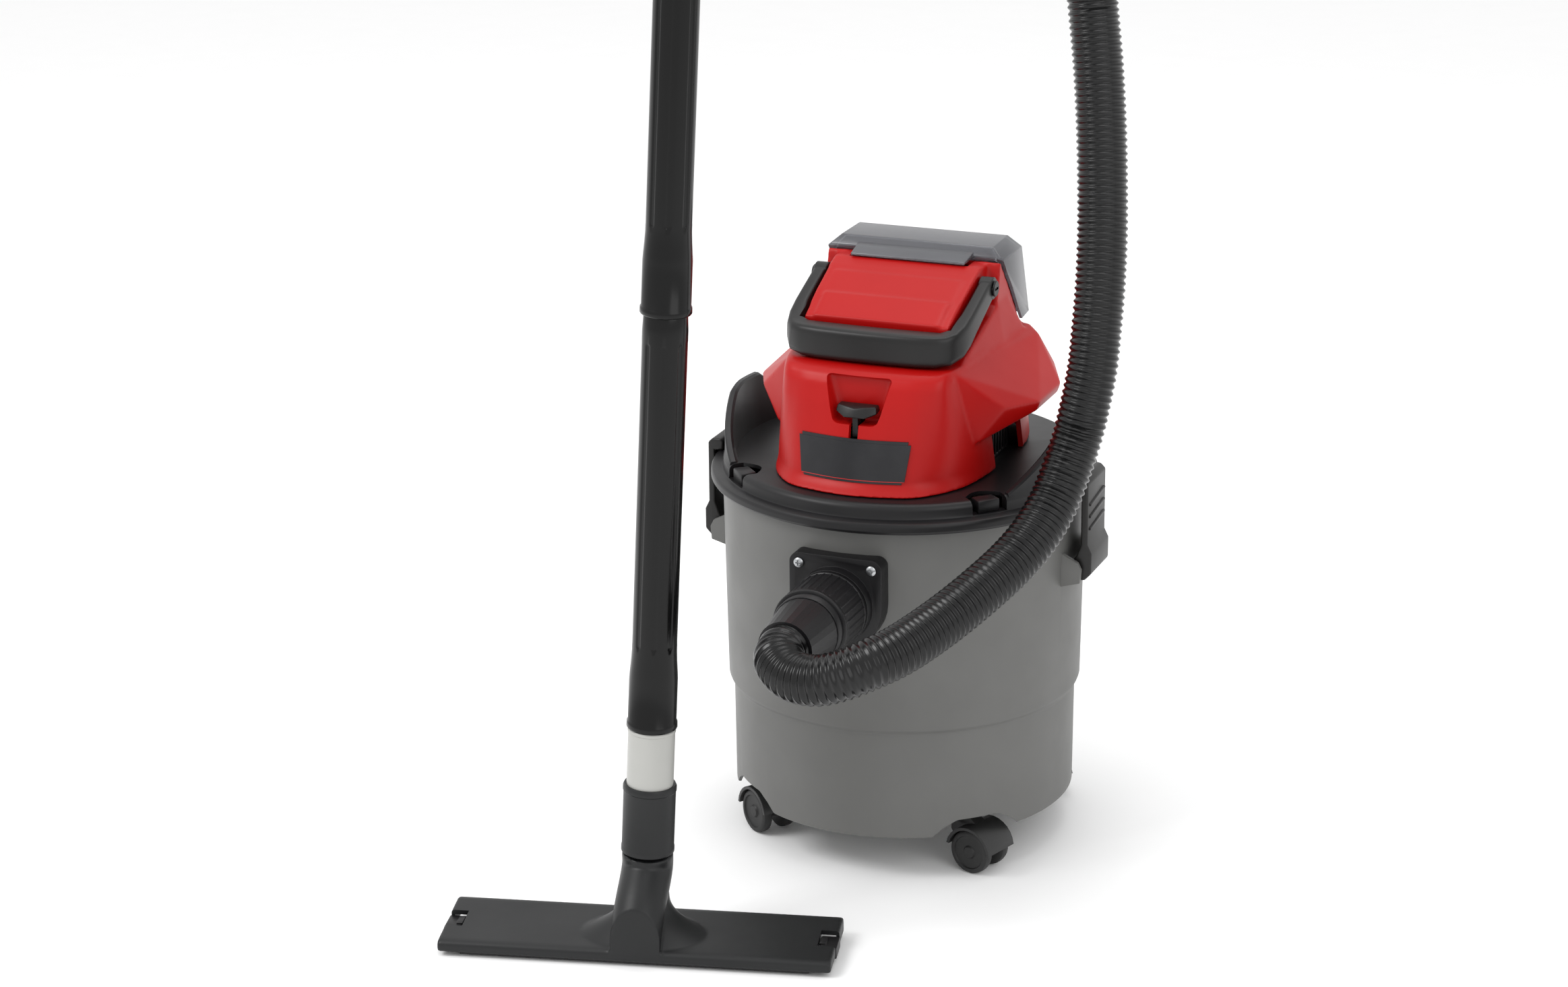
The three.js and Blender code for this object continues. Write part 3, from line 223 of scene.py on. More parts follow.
# pleated cellulose: a warm off-white with a soft matt fibre
PAPER = Finish("cellulose_paper_pleated", "#e6e0cf", "#d8d0ba", 0.85, Surface.FIBROUS, grain_mm=0.7, depth_mm=0.08)


# ---------- forms ----------
def solid(name: str, points: Iterable[Sequence[float]], faces: Iterable[Sequence[int]],
          matrix: Matrix | None = None) -> bpy.types.Object:
    """Makes a mesh object from points in metres, with its place in its mesh.

    Args:
        name: the object's name.
        points: corners.
        faces: rows of corner numbers.
        matrix: applied to the points.

    Returns:
        The object, linked to the scene.
    """
    mesh = bpy.data.meshes.new(name)
    mesh.from_pydata([tuple(p) for p in points], [], [tuple(f) for f in faces])
    if matrix is not None:
        mesh.transform(matrix)
    work = bmesh.new()
    work.from_mesh(mesh)
    bmesh.ops.remove_doubles(work, verts=work.verts, dist=1e-6)
    bmesh.ops.recalc_face_normals(work, faces=work.faces)
    work.to_mesh(mesh)
    work.free()
    thing = bpy.data.objects.new(name, mesh)
    bpy.context.scene.collection.objects.link(thing)
    return thing


def turned(name: str, profile: Outline, matrix: Matrix, sides: int = 96,
           shape: Callable[[float, float, float], float] | None = None) -> bpy.types.Object:
    """Turns a profile about Z.

    Args:
        name: the object's name.
        profile: radius and height in millimetres, closing on itself or on the axis.
        matrix: the place of the form.
        sides: facets round the axis.
        shape: changes a radius in millimetres, given it, the angle and the height.

    Returns:
        The closed form.
    """
    on_axis = profile[0][0] == 0 and profile[-1][0] == 0
    points: list[Point] = []
    rings: list[list[int]] = []
    for radius, height in profile:
        if radius == 0:
            rings.append([len(points)] * sides)
            points.append((0.0, 0.0, height * MM))
            continue
        rings.append(list(range(len(points), len(points) + sides)))
        for k in range(sides):
            angle = 2 * math.pi * k / sides
            r = shape(radius, angle, height) if shape else radius
            points.append((r * math.cos(angle) * MM, r * math.sin(angle) * MM, height * MM))
    pairs = list(zip(rings, rings[1:], strict=False))
    if not on_axis:
        pairs.append((rings[-1], rings[0]))
    faces = []
    for low, high in pairs:
        for k in range(sides):
            n = (k + 1) % sides
            corners = [low[k], low[n], high[n], high[k]]
            faces.append([c for i, c in enumerate(corners) if c not in corners[:i]])
    return solid(name, points, [f for f in faces if len(f) > 2], matrix)


def lofted(name: str, sections: Sequence[Sequence[Point]], matrix: Matrix) -> bpy.types.Object:
    """Joins closed sections of equal length, in millimetres, into one capped form and returns it."""
    count = len(sections[0])
    points = [(x * MM, y * MM, z * MM) for section in sections for x, y, z in section]
    faces: list[list[int]] = []
    for level in range(len(sections) - 1):
        for k in range(count):
            n = (k + 1) % count
            a, b = level * count, (level + 1) * count
            faces.append([a + k, a + n, b + n, b + k])
    faces.append(list(range(count)))
    faces.append(list(range((len(sections) - 1) * count, len(sections) * count)))
    return solid(name, points, faces, matrix)


def hulled(name: str, points: Iterable[Point], matrix: Matrix, mirror: bool = False) -> bpy.types.Object:
    """Wraps the convex form round points in millimetres.

    Args:
        name: the object's name.
        points: corners.
        matrix: the place of the form.
        mirror: adds each corner's mirror image in X.

    Returns:
        The closed form.
    """
    rows = list(points)
    if mirror:
        rows += [(-x, y, z) for x, y, z in rows]
    work = bmesh.new()
    for x, y, z in rows:
        work.verts.new((x * MM, y * MM, z * MM))
    bmesh.ops.remove_doubles(work, verts=work.verts, dist=1e-6)
    result = bmesh.ops.convex_hull(work, input=work.verts)
    spare = {e for e in result["geom_interior"] if isinstance(e, bmesh.types.BMVert)}
    bmesh.ops.delete(work, geom=list(spare), context="VERTS")
    bmesh.ops.dissolve_limit(work, angle_limit=0.01, verts=work.verts, edges=work.edges)
    mesh = bpy.data.meshes.new(name)
    work.to_mesh(mesh)
    work.free()
    mesh.transform(matrix)
    thing = bpy.data.objects.new(name, mesh)
    bpy.context.scene.collection.objects.link(thing)
    return thing


def prism(name: str, outline: Outline, low: float, high: float, matrix: Matrix) -> bpy.types.Object:
    """Pushes an outline in millimetres along Z from low to high and returns the closed form."""
    return lofted(name, [[(x, y, z) for x, y in outline] for z in (low, high)], matrix)


def block(name: str, low: Point, high: Point, matrix: Matrix) -> bpy.types.Object:
    """Returns a box between two corners in millimetres."""
    (x0, y0, z0), (x1, y1, z1) = low, high
    return prism(name, [(x0, y0), (x1, y0), (x1, y1), (x0, y1)], z0, z1, matrix)


def eased(knots: Sequence[Vector], t: float) -> Vector:
    """Returns the point at t, from 0 to 1, between the middle two of four knots of a smooth curve."""
    a, b, c, d = knots
    return 0.5 * (2 * b + (c - a) * t + (2 * a - 5 * b + 4 * c - d) * t**2 + (3 * b - a - 3 * c + d) * t**3)


def eased_line(knots: Sequence[Vector], steps: int) -> list[Vector]:
    """Returns an open smooth curve through knots, with steps points to a span."""
    padded = [knots[0] * 2 - knots[1], *knots, knots[-1] * 2 - knots[-2]]
    spans = range(len(knots) - 1)
    return [eased(padded[i : i + 4], k / steps) for i in spans for k in range(steps)] + [knots[-1]]


def eased_ring(points: Sequence[Point], steps: int = 6) -> list[Point]:
    """Returns a closed row of points as a smooth closed curve through them."""
    count = len(points)
    ring: list[Point] = []
    for i in range(count):
        knots = [Vector(points[(i + k - 1) % count]) for k in range(4)]
        ring += [tuple(eased(knots, k / steps)) for k in range(steps)]
    return ring


def swept(name: str, line: Sequence[Vector], radii: Sequence[float], sides: int) -> bpy.types.Object:
    """Returns a closed round form along a line.

    Args:
        name: the object's name.
        line: points in metres.
        radii: one radius for each point, in millimetres.
        sides: facets round the line.

    Returns:
        The form, flat at both ends.
    """
    points: list[Vector] = []
    faces: list[list[int]] = []
    side = Vector((1.0, 0.0, 0.0))
    for i, p in enumerate(line):
        along = (line[min(i + 1, len(line) - 1)] - line[max(i - 1, 0)]).normalized()
        side = (side - along * side.dot(along)).normalized()
        other = along.cross(side)
        for k in range(sides):
            angle = 2 * math.pi * k / sides
            points.append(p + (side * math.cos(angle) + other * math.sin(angle)) * radii[i] * MM)
    for i in range(len(line) - 1):
        for k in range(sides):
            n = (k + 1) % sides
            faces.append([i * sides + k, i * sides + n, (i + 1) * sides + n, (i + 1) * sides + k])
    faces.append(list(range(sides)))
    faces.append(list(range((len(line) - 1) * sides, len(line) * sides)))
    return solid(name, points, faces)


def applied(thing: bpy.types.Object) -> bpy.types.Object:
    """Turns what an object's modifiers make into its plain mesh and returns it."""
    graph = bpy.context.evaluated_depsgraph_get()
    mesh = bpy.data.meshes.new_from_object(thing.evaluated_get(graph), preserve_all_data_layers=True, depsgraph=graph)
    thing.modifiers.clear()
    old = thing.data
    if isinstance(old, bpy.types.Mesh):
        thing.data = mesh
        return thing
    name = thing.name
    bpy.data.objects.remove(thing)
    plain = bpy.data.objects.new(name, mesh)
    bpy.context.scene.collection.objects.link(plain)
    return plain


class Cut(Enum):
    """What a second form does to the first."""

    REMOVE = "DIFFERENCE"
    ADD = "UNION"
    KEEP = "INTERSECT"


def carved(base: bpy.types.Object, how: Cut, *tools: bpy.types.Object, keep: bool = False) -> bpy.types.Object:
    """Adds, removes or keeps what other forms cover.

    Args:
        base: the form that changes.
        how: what the tools do.
        tools: closed forms.
        keep: leaves the tools in the scene.

    Returns:
        The changed form.
    """
    for tool in tools:
        step = base.modifiers.new("carve", "BOOLEAN")
        step.operation = how.value
        step.solver = "MANIFOLD"
        step.object = tool
        applied(base)
        if not keep:
            bpy.data.objects.remove(tool)
    return base


def rounded(thing: bpy.types.Object, voxel: float, passes: int) -> bpy.types.Object:
    """Melts a form's corners as a moulding tool's radii do.

    Args:
        thing: a closed form.
        voxel: size of the new facets in millimetres.
        passes: how far the corners melt.

    Returns:
        The form, with facets of even size.
    """
    melt = thing.modifiers.new("melt", "REMESH")
    melt.mode = "VOXEL"
    melt.voxel_size = voxel * MM
    melt.adaptivity = 0.0
    smooth = thing.modifiers.new("smooth", "SMOOTH")
    smooth.factor = 0.5
    smooth.iterations = passes
    return applied(thing)


def softened(thing: bpy.types.Object, width: float, segments: int = 3, angle: float = 28.0) -> bpy.types.Object:
    """Breaks a form's sharp edges with small radii of a width in millimetres and returns it."""
    work = bmesh.new()
    work.from_mesh(thing.data)
    bmesh.ops.remove_doubles(work, verts=work.verts, dist=2e-6)
    bmesh.ops.dissolve_limit(work, angle_limit=math.radians(1.5), verts=work.verts, edges=work.edges)
    work.to_mesh(thing.data)
    work.free()
    edge = thing.modifiers.new("edge", "BEVEL")
    edge.width = width * MM
    edge.segments = segments
    edge.limit_method = "ANGLE"
    edge.angle_limit = math.radians(angle)
    edge.use_clamp_overlap = True
    return applied(thing)


def copy_of(node: str, name: str) -> bpy.types.Object:
    """Returns a copy of a frame node's mesh as a piece of its own, with its doubles merged."""
    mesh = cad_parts[node].data.copy()
    mesh.materials.clear()
    thing = bpy.data.objects.new(name, mesh)
    bpy.context.scene.collection.objects.link(thing)
    work = bmesh.new()
    work.from_mesh(mesh)
    bmesh.ops.remove_doubles(work, verts=work.verts, dist=2e-6)
    work.to_mesh(mesh)
    work.free()
    return thing


def dress(thing: bpy.types.Object, finish: Finish, body: str, slot: str, *nodes: str,
          angle: float = 35.0) -> bpy.types.Object:
    """Gives a piece its finish, shading and body, and hides the frame nodes that it stands for.

    Args:
        thing: the piece.
        finish: its finish, given only if the piece carries no material yet.
        body: the body that it rides on, or nothing for a piece that rides on no body.
        slot: not used.
        nodes: the frame nodes that it replaces.
        angle: edges sharper than this many degrees stay crisp.

    Returns:
        The piece.
    """
    if not any(thing.data.materials):
        thing.data.materials.clear()
        thing.data.materials.append(finish.build())
    for face in thing.data.polygons:
        face.use_smooth = True
    thing.data.set_sharp_from_angle(angle=math.radians(angle))
    if body:
        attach(thing, body)
    if nodes:
        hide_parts(*nodes)
    log.info("%s: %d faces on %s", thing.name, len(thing.data.polygons), body)
    return thing


def keep_node(node: str, finish: Finish) -> None:
    """Gives a frame node that stays its finish."""
    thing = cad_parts[node]
    thing.data.materials.clear()
    thing.data.materials.append(finish.build())


# ---------- geometry node trees ----------
def new_tree(name: str, inputs: dict[str, tuple[str, float | None]]) -> tuple[bpy.types.NodeTree, bpy.types.Node]:
    """Starts a geometry node tree.

    Args:
        name: the tree's name.
        inputs: input name to its socket type and first value.

    Returns:
        The tree and its group input node.
    """
    tree = bpy.data.node_groups.new(name, "GeometryNodeTree")
    tree.interface.new_socket("Geometry", in_out="INPUT", socket_type="NodeSocketGeometry")
    for label, (kind, value) in inputs.items():
        socket = tree.interface.new_socket(label, in_out="INPUT", socket_type=kind)
        if value is not None:
            socket.default_value = value
    tree.interface.new_socket("Geometry", in_out="OUTPUT", socket_type="NodeSocketGeometry")
    return tree, tree.nodes.new("NodeGroupInput")


def close_tree(tree: bpy.types.NodeTree, geometry: bpy.types.NodeSocket, material: bpy.types.NodeSocket) -> None:
    """Ends a tree in real geometry that carries its material."""
    real = add_node(tree, "GeometryNodeRealizeInstances", Geometry=geometry)
    painted = add_node(tree, "GeometryNodeSetMaterial", Geometry=real.outputs[0], Material=material)
    add_node(tree, "NodeGroupOutput", _0=painted.outputs[0])


def grown(source: bpy.types.Object, tree: bpy.types.NodeTree, values: dict[str, object]) -> bpy.types.Object:
    """Runs a tree on an object and keeps what it makes.

    Args:
        source: the object that carries the tree; it becomes the result.
        tree: the geometry node tree.
        values: input name to value.

    Returns:
        A plain mesh object.
    """
    step = source.modifiers.new("grow", "NODES")
    step.node_group = tree
    sockets = {s.name: s.identifier for s in tree.interface.items_tree if s.in_out == "INPUT"}
    for label, value in values.items():
        step[sockets[label]] = value
    return applied(source)


def corrugated_tube_tree() -> bpy.types.NodeTree:
    """Returns the tree that sweeps a ribbed tube along a curve."""
    tree, source = new_tree("corrugated_tube", {
        "Pitch": ("NodeSocketFloat", 0.005), "Radius": ("NodeSocketFloat", 0.0195),
        "Depth": ("NodeSocketFloat", 0.0015), "Material": ("NodeSocketMaterial", None),
    })
    put = source.outputs
    rings_a_rib = 6
    gap = add_node(tree, "ShaderNodeMath", {"operation": "DIVIDE"}, _0=put["Pitch"], _1=float(rings_a_rib))
    line = add_node(tree, "GeometryNodeResampleCurve", {"mode": "LENGTH"}, Curve=put["Geometry"],
                    Length=gap.outputs[0])
    order = add_node(tree, "GeometryNodeInputIndex")
    phase = add_node(tree, "ShaderNodeMath", {"operation": "MULTIPLY"}, _0=order.outputs[0],
                     _1=2 * math.pi / rings_a_rib)
    wave = add_node(tree, "ShaderNodeMath", {"operation": "COSINE"}, _0=phase.outputs[0])
    drop = add_node(tree, "ShaderNodeMapRange", _0=wave.outputs[0], _1=-1.0, _2=1.0, _3=1.0, _4=0.0)
    cut_in = add_node(tree, "ShaderNodeMath", {"operation": "MULTIPLY"}, _0=drop.outputs[0], _1=put["Depth"])
    radius = add_node(tree, "ShaderNodeMath", {"operation": "SUBTRACT"}, _0=put["Radius"], _1=cut_in.outputs[0])
    shaped = add_node(tree, "GeometryNodeSetCurveRadius", Curve=line.outputs[0], Radius=radius.outputs[0])
    rim = add_node(tree, "GeometryNodeCurvePrimitiveCircle", Resolution=30, Radius=1.0)
    swept = add_node(tree, "GeometryNodeCurveToMesh", Curve=shaped.outputs[0], Profile_Curve=rim.outputs[0],
                     Fill_Caps=True)
    if "Scale" in swept.inputs:
        tree.links.new(radius.outputs[0], swept.inputs["Scale"])
    close_tree(tree, swept.outputs[0], put["Material"])
    return tree


def row_tree() -> bpy.types.NodeTree:
    """Returns the tree that repeats the object itself along a step."""
    tree, source = new_tree("repeated_row", {
        "Count": ("NodeSocketInt", 5), "Step": ("NodeSocketVector", None), "Turn": ("NodeSocketVector", None),
        "Material": ("NodeSocketMaterial", None),
    })
    put = source.outputs
    line = add_node(tree, "GeometryNodeMeshLine", {"mode": "OFFSET"}, Count=put["Count"], Offset=put["Step"])
    order = add_node(tree, "GeometryNodeInputIndex")
    turn = add_node(tree, "ShaderNodeVectorMath", {"operation": "SCALE"}, _0=put["Turn"], Scale=order.outputs[0])
    standing = add_node(tree, "GeometryNodeInstanceOnPoints", Points=line.outputs[0], Instance=put["Geometry"],
                        Rotation=turn.outputs[0])
    close_tree(tree, standing.outputs[0], put["Material"])
    return tree


def repeated(thing: bpy.types.Object, finish: Finish, count: int, step: Point = (0, 0, 0),
             turn: float = 0.0, matrix: Matrix | None = None) -> bpy.types.Object:
    """Repeats a form drawn about the origin.

    Args:
        thing: the form.
        finish: the finish of the row.
        count: how many.
        step: millimetres from one to the next.
        turn: radians about Z from one to the next.
        matrix: the place of the finished row.

    Returns:
        The row as one plain mesh.
    """
    tree = bpy.data.node_groups.get("repeated_row") or row_tree()
    row = grown(thing, tree, {"Count": count, "Step": [c * MM for c in step], "Turn": [0.0, 0.0, turn],
                              "Material": finish.build()})
    if matrix is not None:
        row.data.transform(matrix)
    return row


# ---------- camera, light and floor ----------
@dataclass
class Studio:
    """A pale sweep under soft light, seen from in front and to the right, a little from above."""

    eye: Point = (973.0, -2673.2, 1230.1)
    lens_mm: float = 85.0
    sensor_mm: float = 36.0
    heading_deg: float = 20.0
    yaw: float = -0.0343
    pitch: float = 0.3224
    roll: float = -0.0103

    def set_camera(self) -> None:
        """Makes the camera and stands it at the eye."""
        heading = Matrix.Rotation(math.radians(self.heading_deg), 3, "Z")
        forward = Vector((math.sin(self.yaw) * math.cos(self.pitch), math.cos(self.yaw) * math.cos(self.pitch),
                          -math.sin(self.pitch)))
        level = Vector((math.cos(self.yaw), -math.sin(self.yaw), 0.0))
        upright = level.cross(forward)
        right = math.cos(self.roll) * level + math.sin(self.roll) * upright
        up = -math.sin(self.roll) * level + math.cos(self.roll) * upright
        turn = Matrix((heading @ right, heading @ up, -(heading @ forward))).transposed()
        data = bpy.data.cameras.new("camera")
        data.lens = self.lens_mm
        data.sensor_width = self.sensor_mm
        data.clip_end = 50.0
        camera = bpy.data.objects.new("camera", data)
        camera.matrix_world = Matrix.Translation(at(*self.eye)) @ turn.to_4x4()
        bpy.context.scene.collection.objects.link(camera)
        bpy.context.scene.camera = camera

    def add_light(self, name: str, place: Point, target: Point, size: float, power: float) -> None:
        """Adds a square softbox.

        Args:
            name: the light's name.
            place: millimetres from the drum's axis.
            target: what it faces, in the same measure.
            size: its side in metres.
            power: its power in watts.
        """
        data = bpy.data.lights.new(name, "AREA")
        data.shape = "SQUARE"
        data.size = size
        data.energy = power
        lamp = bpy.data.objects.new(name, data)
        spot = at(*place)
        lamp.matrix_world = aimed(spot, spot - at(*target))
        bpy.context.scene.collection.objects.link(lamp)

    def build(self) -> None:
        """Sets camera, lights, world and floor."""
        self.set_camera()
        self.add_light("key_softbox", (-1500, -1500, 2300), (0, 0, 250), 1.2, 34.0)
        self.add_light("fill_softbox", (1900, -1300, 1500), (0, 0, 250), 1.6, 11.0)
        self.add_light("top_softbox", (100, 300, 2500), (0, 0, 250), 1.4, 14.0)
        world = bpy.data.worlds.new("studio")
        world.use_nodes = True
        world.node_tree.nodes["Background"].inputs[0].default_value = (1.0, 1.0, 1.0, 1.0)
        world.node_tree.nodes["Background"].inputs[1].default_value = 0.95
        bpy.context.scene.world = world
        bpy.context.scene.view_settings.view_transform = "Standard"
        side = 12000.0
        floor = solid("floor", [at(-side, -side, 0), at(side, -side, 0), at(side, side, 0), at(-side, side, 0)],
                      [(0, 1, 2, 3)])
        # matt white paper sweep: it bounces light up and shows only a soft shadow
        floor.data.materials.append(Finish("paper_sweep_white", "#fbfbfb", "#f8f8f8", 0.9, grain_mm=8.0,
                                           depth_mm=0.0).build())


# ---------- the hose ----------
HOSE_ROUTE: list[Point] = [
    (0, -262.3, 238), (0, -270, 238), (4, -283, 236), (19, -296, 232), (40, -302, 233),
    (60, -300, 239), (77, -291, 246), (93, -271, 252), (106, -246, 259), (119, -220, 268),
    (133, -194, 280), (146, -167, 293), (157, -144, 309), (165, -123, 329), (171, -107, 354),
    (176, -97, 378), (180, -92, 402), (183, -86, 428), (183.5, -79, 456), (183, -70, 486),
    (181, -60, 518), (178, -51, 550), (173, -40, 598), (166.5, -30, 647), (158.5, -22, 697),
    (151, -17, 756), (147, -14.5, 818), (146, -14, 878), (143, -18.5, 920), (133.5, -31, 959),
    (118.5, -51.5, 992), (99, -78, 1018), (76, -109, 1035), (51.5, -142.5, 1041),
    (27, -176.5, 1036.5), (4, -208, 1021.5), (-16, -235, 997), (-29, -252.6, 973.1),
    (-32.1, -256.9, 964.6),
]


@dataclass
class Hose:
    """The corrugated suction hose from the inlet to the hand-piece, in millimetres."""

    diameter: float = 39.0
    pitch: float = 5.1
    rib_depth: float = 1.7
    steps_a_span: int = 8

    def line(self) -> list[Vector]:
        """Returns the hose's centre line as close points in metres."""
        return eased_line([at(*p) for p in HOSE_ROUTE], self.steps_a_span)

    def build(self) -> bpy.types.Object:
        points = self.line()
        data = bpy.data.curves.new("hose_line", "CURVE")
        data.dimensions = "3D"
        spline = data.splines.new("POLY")
        spline.points.add(len(points) - 1)
        for knot, p in zip(spline.points, points, strict=True):
            knot.co = (*p, 1.0)
        source = bpy.data.objects.new("suction_hose", data)
        bpy.context.scene.collection.objects.link(source)
        hose = grown(source, corrugated_tube_tree(), {
            "Pitch": self.pitch * MM, "Radius": self.diameter / 2 * MM, "Depth": self.rib_depth * MM,
            "Material": HOSE_BLACK.build(),
        })
        dress(hose, HOSE_BLACK, "", "hose_plastic", "hose", angle=60.0)
        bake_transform(hose)
        return hose


# ---------- drum ----------
UP = place_matrix()
# stands an outline given in Y and Z so that it is pushed along X
ALONG_X = Matrix(((0, 0, 1, 0), (1, 0, 0, 0), (0, 1, 0, 0), (0, 0, 0, 1)))


def along_front(x: float, z: float, y: float = 0.0) -> Matrix:
    """Returns the matrix that turns a form's Z axis to face the front, at millimetres from the drum's axis."""
    return Matrix.Translation(at(x, y, z)) @ Matrix.Rotation(math.pi / 2, 4, "X")


def along_side(y: float, z: float) -> Matrix:
    """Returns the matrix that turns a form's Z axis to face +X, at millimetres from the drum's axis."""
    return Matrix.Translation(at(0, y, z)) @ Matrix.Rotation(math.pi / 2, 4, "Y")


def rod(radius: float, low: float, high: float, matrix: Matrix, sides: int = 24) -> bpy.types.Object:
    """Returns a plain round rod.

    Args:
        radius: in millimetres.
        low, high: its ends along Z.
        matrix: its place.
        sides: facets round it.

    Returns:
        The closed form.
    """
    return turned("rod", [(0, low), (radius, low), (radius, high), (0, high)], matrix, sides)


@dataclass
class Drum:
    """The grey drum: a tapered shell with a moulded step, a skirt over the casters and the latches' ears."""

    foot: float = 36.0
    foot_radius: float = 138.7
    step: float = 128.0
    step_radius: float = 143.7
    rim: float = 296.7
    rim_radius: float = 146.6
    wall: float = 2.8
    floor: float = 50.0
    caster_spread: float = 80.0
    skirt_cut_half: float = 47.0
    skirt_cut_top: float = 53.0
    pivot_z: float = 240.0
    latch_half: float = 24.0
    inlet: float = 238.0

    def outer(self) -> Outline:
        """Returns the outside of the wall from foot to rim."""
        s, r = self.step, self.step_radius
        return [(self.foot_radius - 1.2, self.foot), (self.foot_radius, self.foot + 1.2), (r - 4.2, s - 5),
                (r - 3.7, s - 2.2), (r - 2.4, s - 0.4), (r - 0.9, s + 0.9), (r, s + 3.4), (self.rim_radius, self.rim)]

    def build(self) -> None:
        """Builds the drum."""
        w = self.wall
        inner = [(r - w, z) for r, z in reversed(self.outer()) if z > self.floor + 4]
        profile = [*self.outer(), *inner, (self.foot_radius - w - 1, self.floor + w + 3),
                   (self.foot_radius - w - 5, self.floor + w), (0.0, self.floor + w)]
        under = [(0.0, self.floor), (self.foot_radius - w - 1, self.floor), (self.foot_radius - w, self.foot)]
        shell = turned("drum_shell", [*under, *profile], UP, 144)
        for i in range(4):
            corner = math.pi / 4 + i * math.pi / 2
            x, y = math.cos(corner), math.sin(corner)
            reach = self.caster_spread * math.sqrt(2)
            boss = turned("boss", [(0, self.floor + 1), (9, self.floor + 1), (9, 65), (8, 67), (0, 67)],
                          place_matrix(x * reach, y * reach), 32)
            carved(shell, Cut.ADD, boss)
            h, top = self.skirt_cut_half, self.skirt_cut_top
            arch = [(h * math.cos(a) * (1 + 0.12 * abs(math.sin(2 * a))), -20 + (top + 20 - self.foot + 18)
                     * math.sin(a)) for a in [k * math.pi / 16 for k in range(17)]]
            gate = lofted("gate", [[(r, px, self.foot - 18 + pz) for px, pz in arch] for r in (118, 170)],
                          place_matrix(turn=corner))
            carved(gate, Cut.REMOVE, block("keep", (-200, -200, self.floor - 0.3), (200, 200, 120), UP))
            carved(shell, Cut.REMOVE, gate)
            socket = rod(4.4, self.floor - 1, 62, place_matrix(x * reach, y * reach))
            carved(shell, Cut.REMOVE, socket)
        for side in (-1, 1):
            for edge in (-1, 1):
                ear = prism("ear", [(140, self.pivot_z - 14), (158, self.pivot_z - 9), (159, self.pivot_z + 2),
                                    (156, self.pivot_z + 8), (140, self.pivot_z + 16)], -2.2, 2.2,
                            Matrix.Translation(at(0, edge * (self.latch_half + 3.2), 0))
                            @ Matrix.Scale(side, 4, (1, 0, 0)) @ Matrix.Rotation(math.pi / 2, 4, "X"))
                carved(shell, Cut.ADD, softened(ear, 0.8, 2))
        mouth = rod(27.2, 100, 200, along_front(0, self.inlet), 64)
        carved(shell, Cut.REMOVE, mouth)
        dress(shell, DRUM_GREY, "drum", "drum_plastic", "drum", angle=30.0)
        for node in ("latch_pin_left", "latch_pin_right", "inlet_deflector"):
            keep_node(node, STEEL if "pin" in node else HEAD_BLACK)


@dataclass
class Casters:
    """Four swivel casters, each a hooded fork between two wheels."""

    spread: float = 80.0
    trail: float = 16.0
    wheel_radius: float = 18.0
    wheel_width: float = 9.0
    inside: float = 6.6
    turns: dict[str, tuple[int, int, float]] = field(default_factory=lambda: {
        "front_right": (1, -1, -0.3), "front_left": (-1, -1, 2.5), "rear_right": (1, 1, 0.45),
        "rear_left": (-1, 1, 2.2)})

    def wheels(self, name: str, matrix: Matrix) -> bpy.types.Object:
        """Builds two rounded wheels with recessed faces and hubs on one axle.

        Args:
            name: the piece's name.
            matrix: stands Z along the axle.

        Returns:
            The pair of wheels.
        """
        a, w, r = self.inside, self.wheel_width, self.wheel_radius
        half = [(r - 2.2, a), (r - 0.4, a + 1.2), (r, a + 3), (r, a + w - 3), (r - 0.5, a + w - 1), (r - 2, a + w),
                (r - 4, a + w), (r - 4.6, a + w - 1.2), (5.5, a + w - 1.6), (4.4, a + w - 0.2), (0, a + w - 0.2)]
        mirrored_half = [(radius, -z) for radius, z in reversed(half)]
        profile = [*mirrored_half, (3, -a), (3, a), *half]
        return turned(name, profile, matrix, 48)

    def build(self) -> None:
        """Builds all four."""
        for key, (sx, sy, turn) in self.turns.items():
            hood = softened(copy_of(f"caster_hood_{key}", f"caster_fork_{key}"), 0.7, 2, 40.0)
            dress(hood, CASTER_BLACK, f"caster_{key}", "caster_plastic", f"caster_hood_{key}", angle=45.0)
            place = place_matrix(sx * self.spread, sy * self.spread, 0, turn)
            axle = place @ Matrix.Translation(Vector((self.trail, 0, self.wheel_radius)) * MM)
            pair = self.wheels(f"caster_wheel_pair_{key}", axle @ Matrix.Rotation(math.pi / 2, 4, "X"))
            dress(pair, WHEEL_BLACK, f"wheels_{key}", "wheel_plastic", f"caster_wheels_{key}")


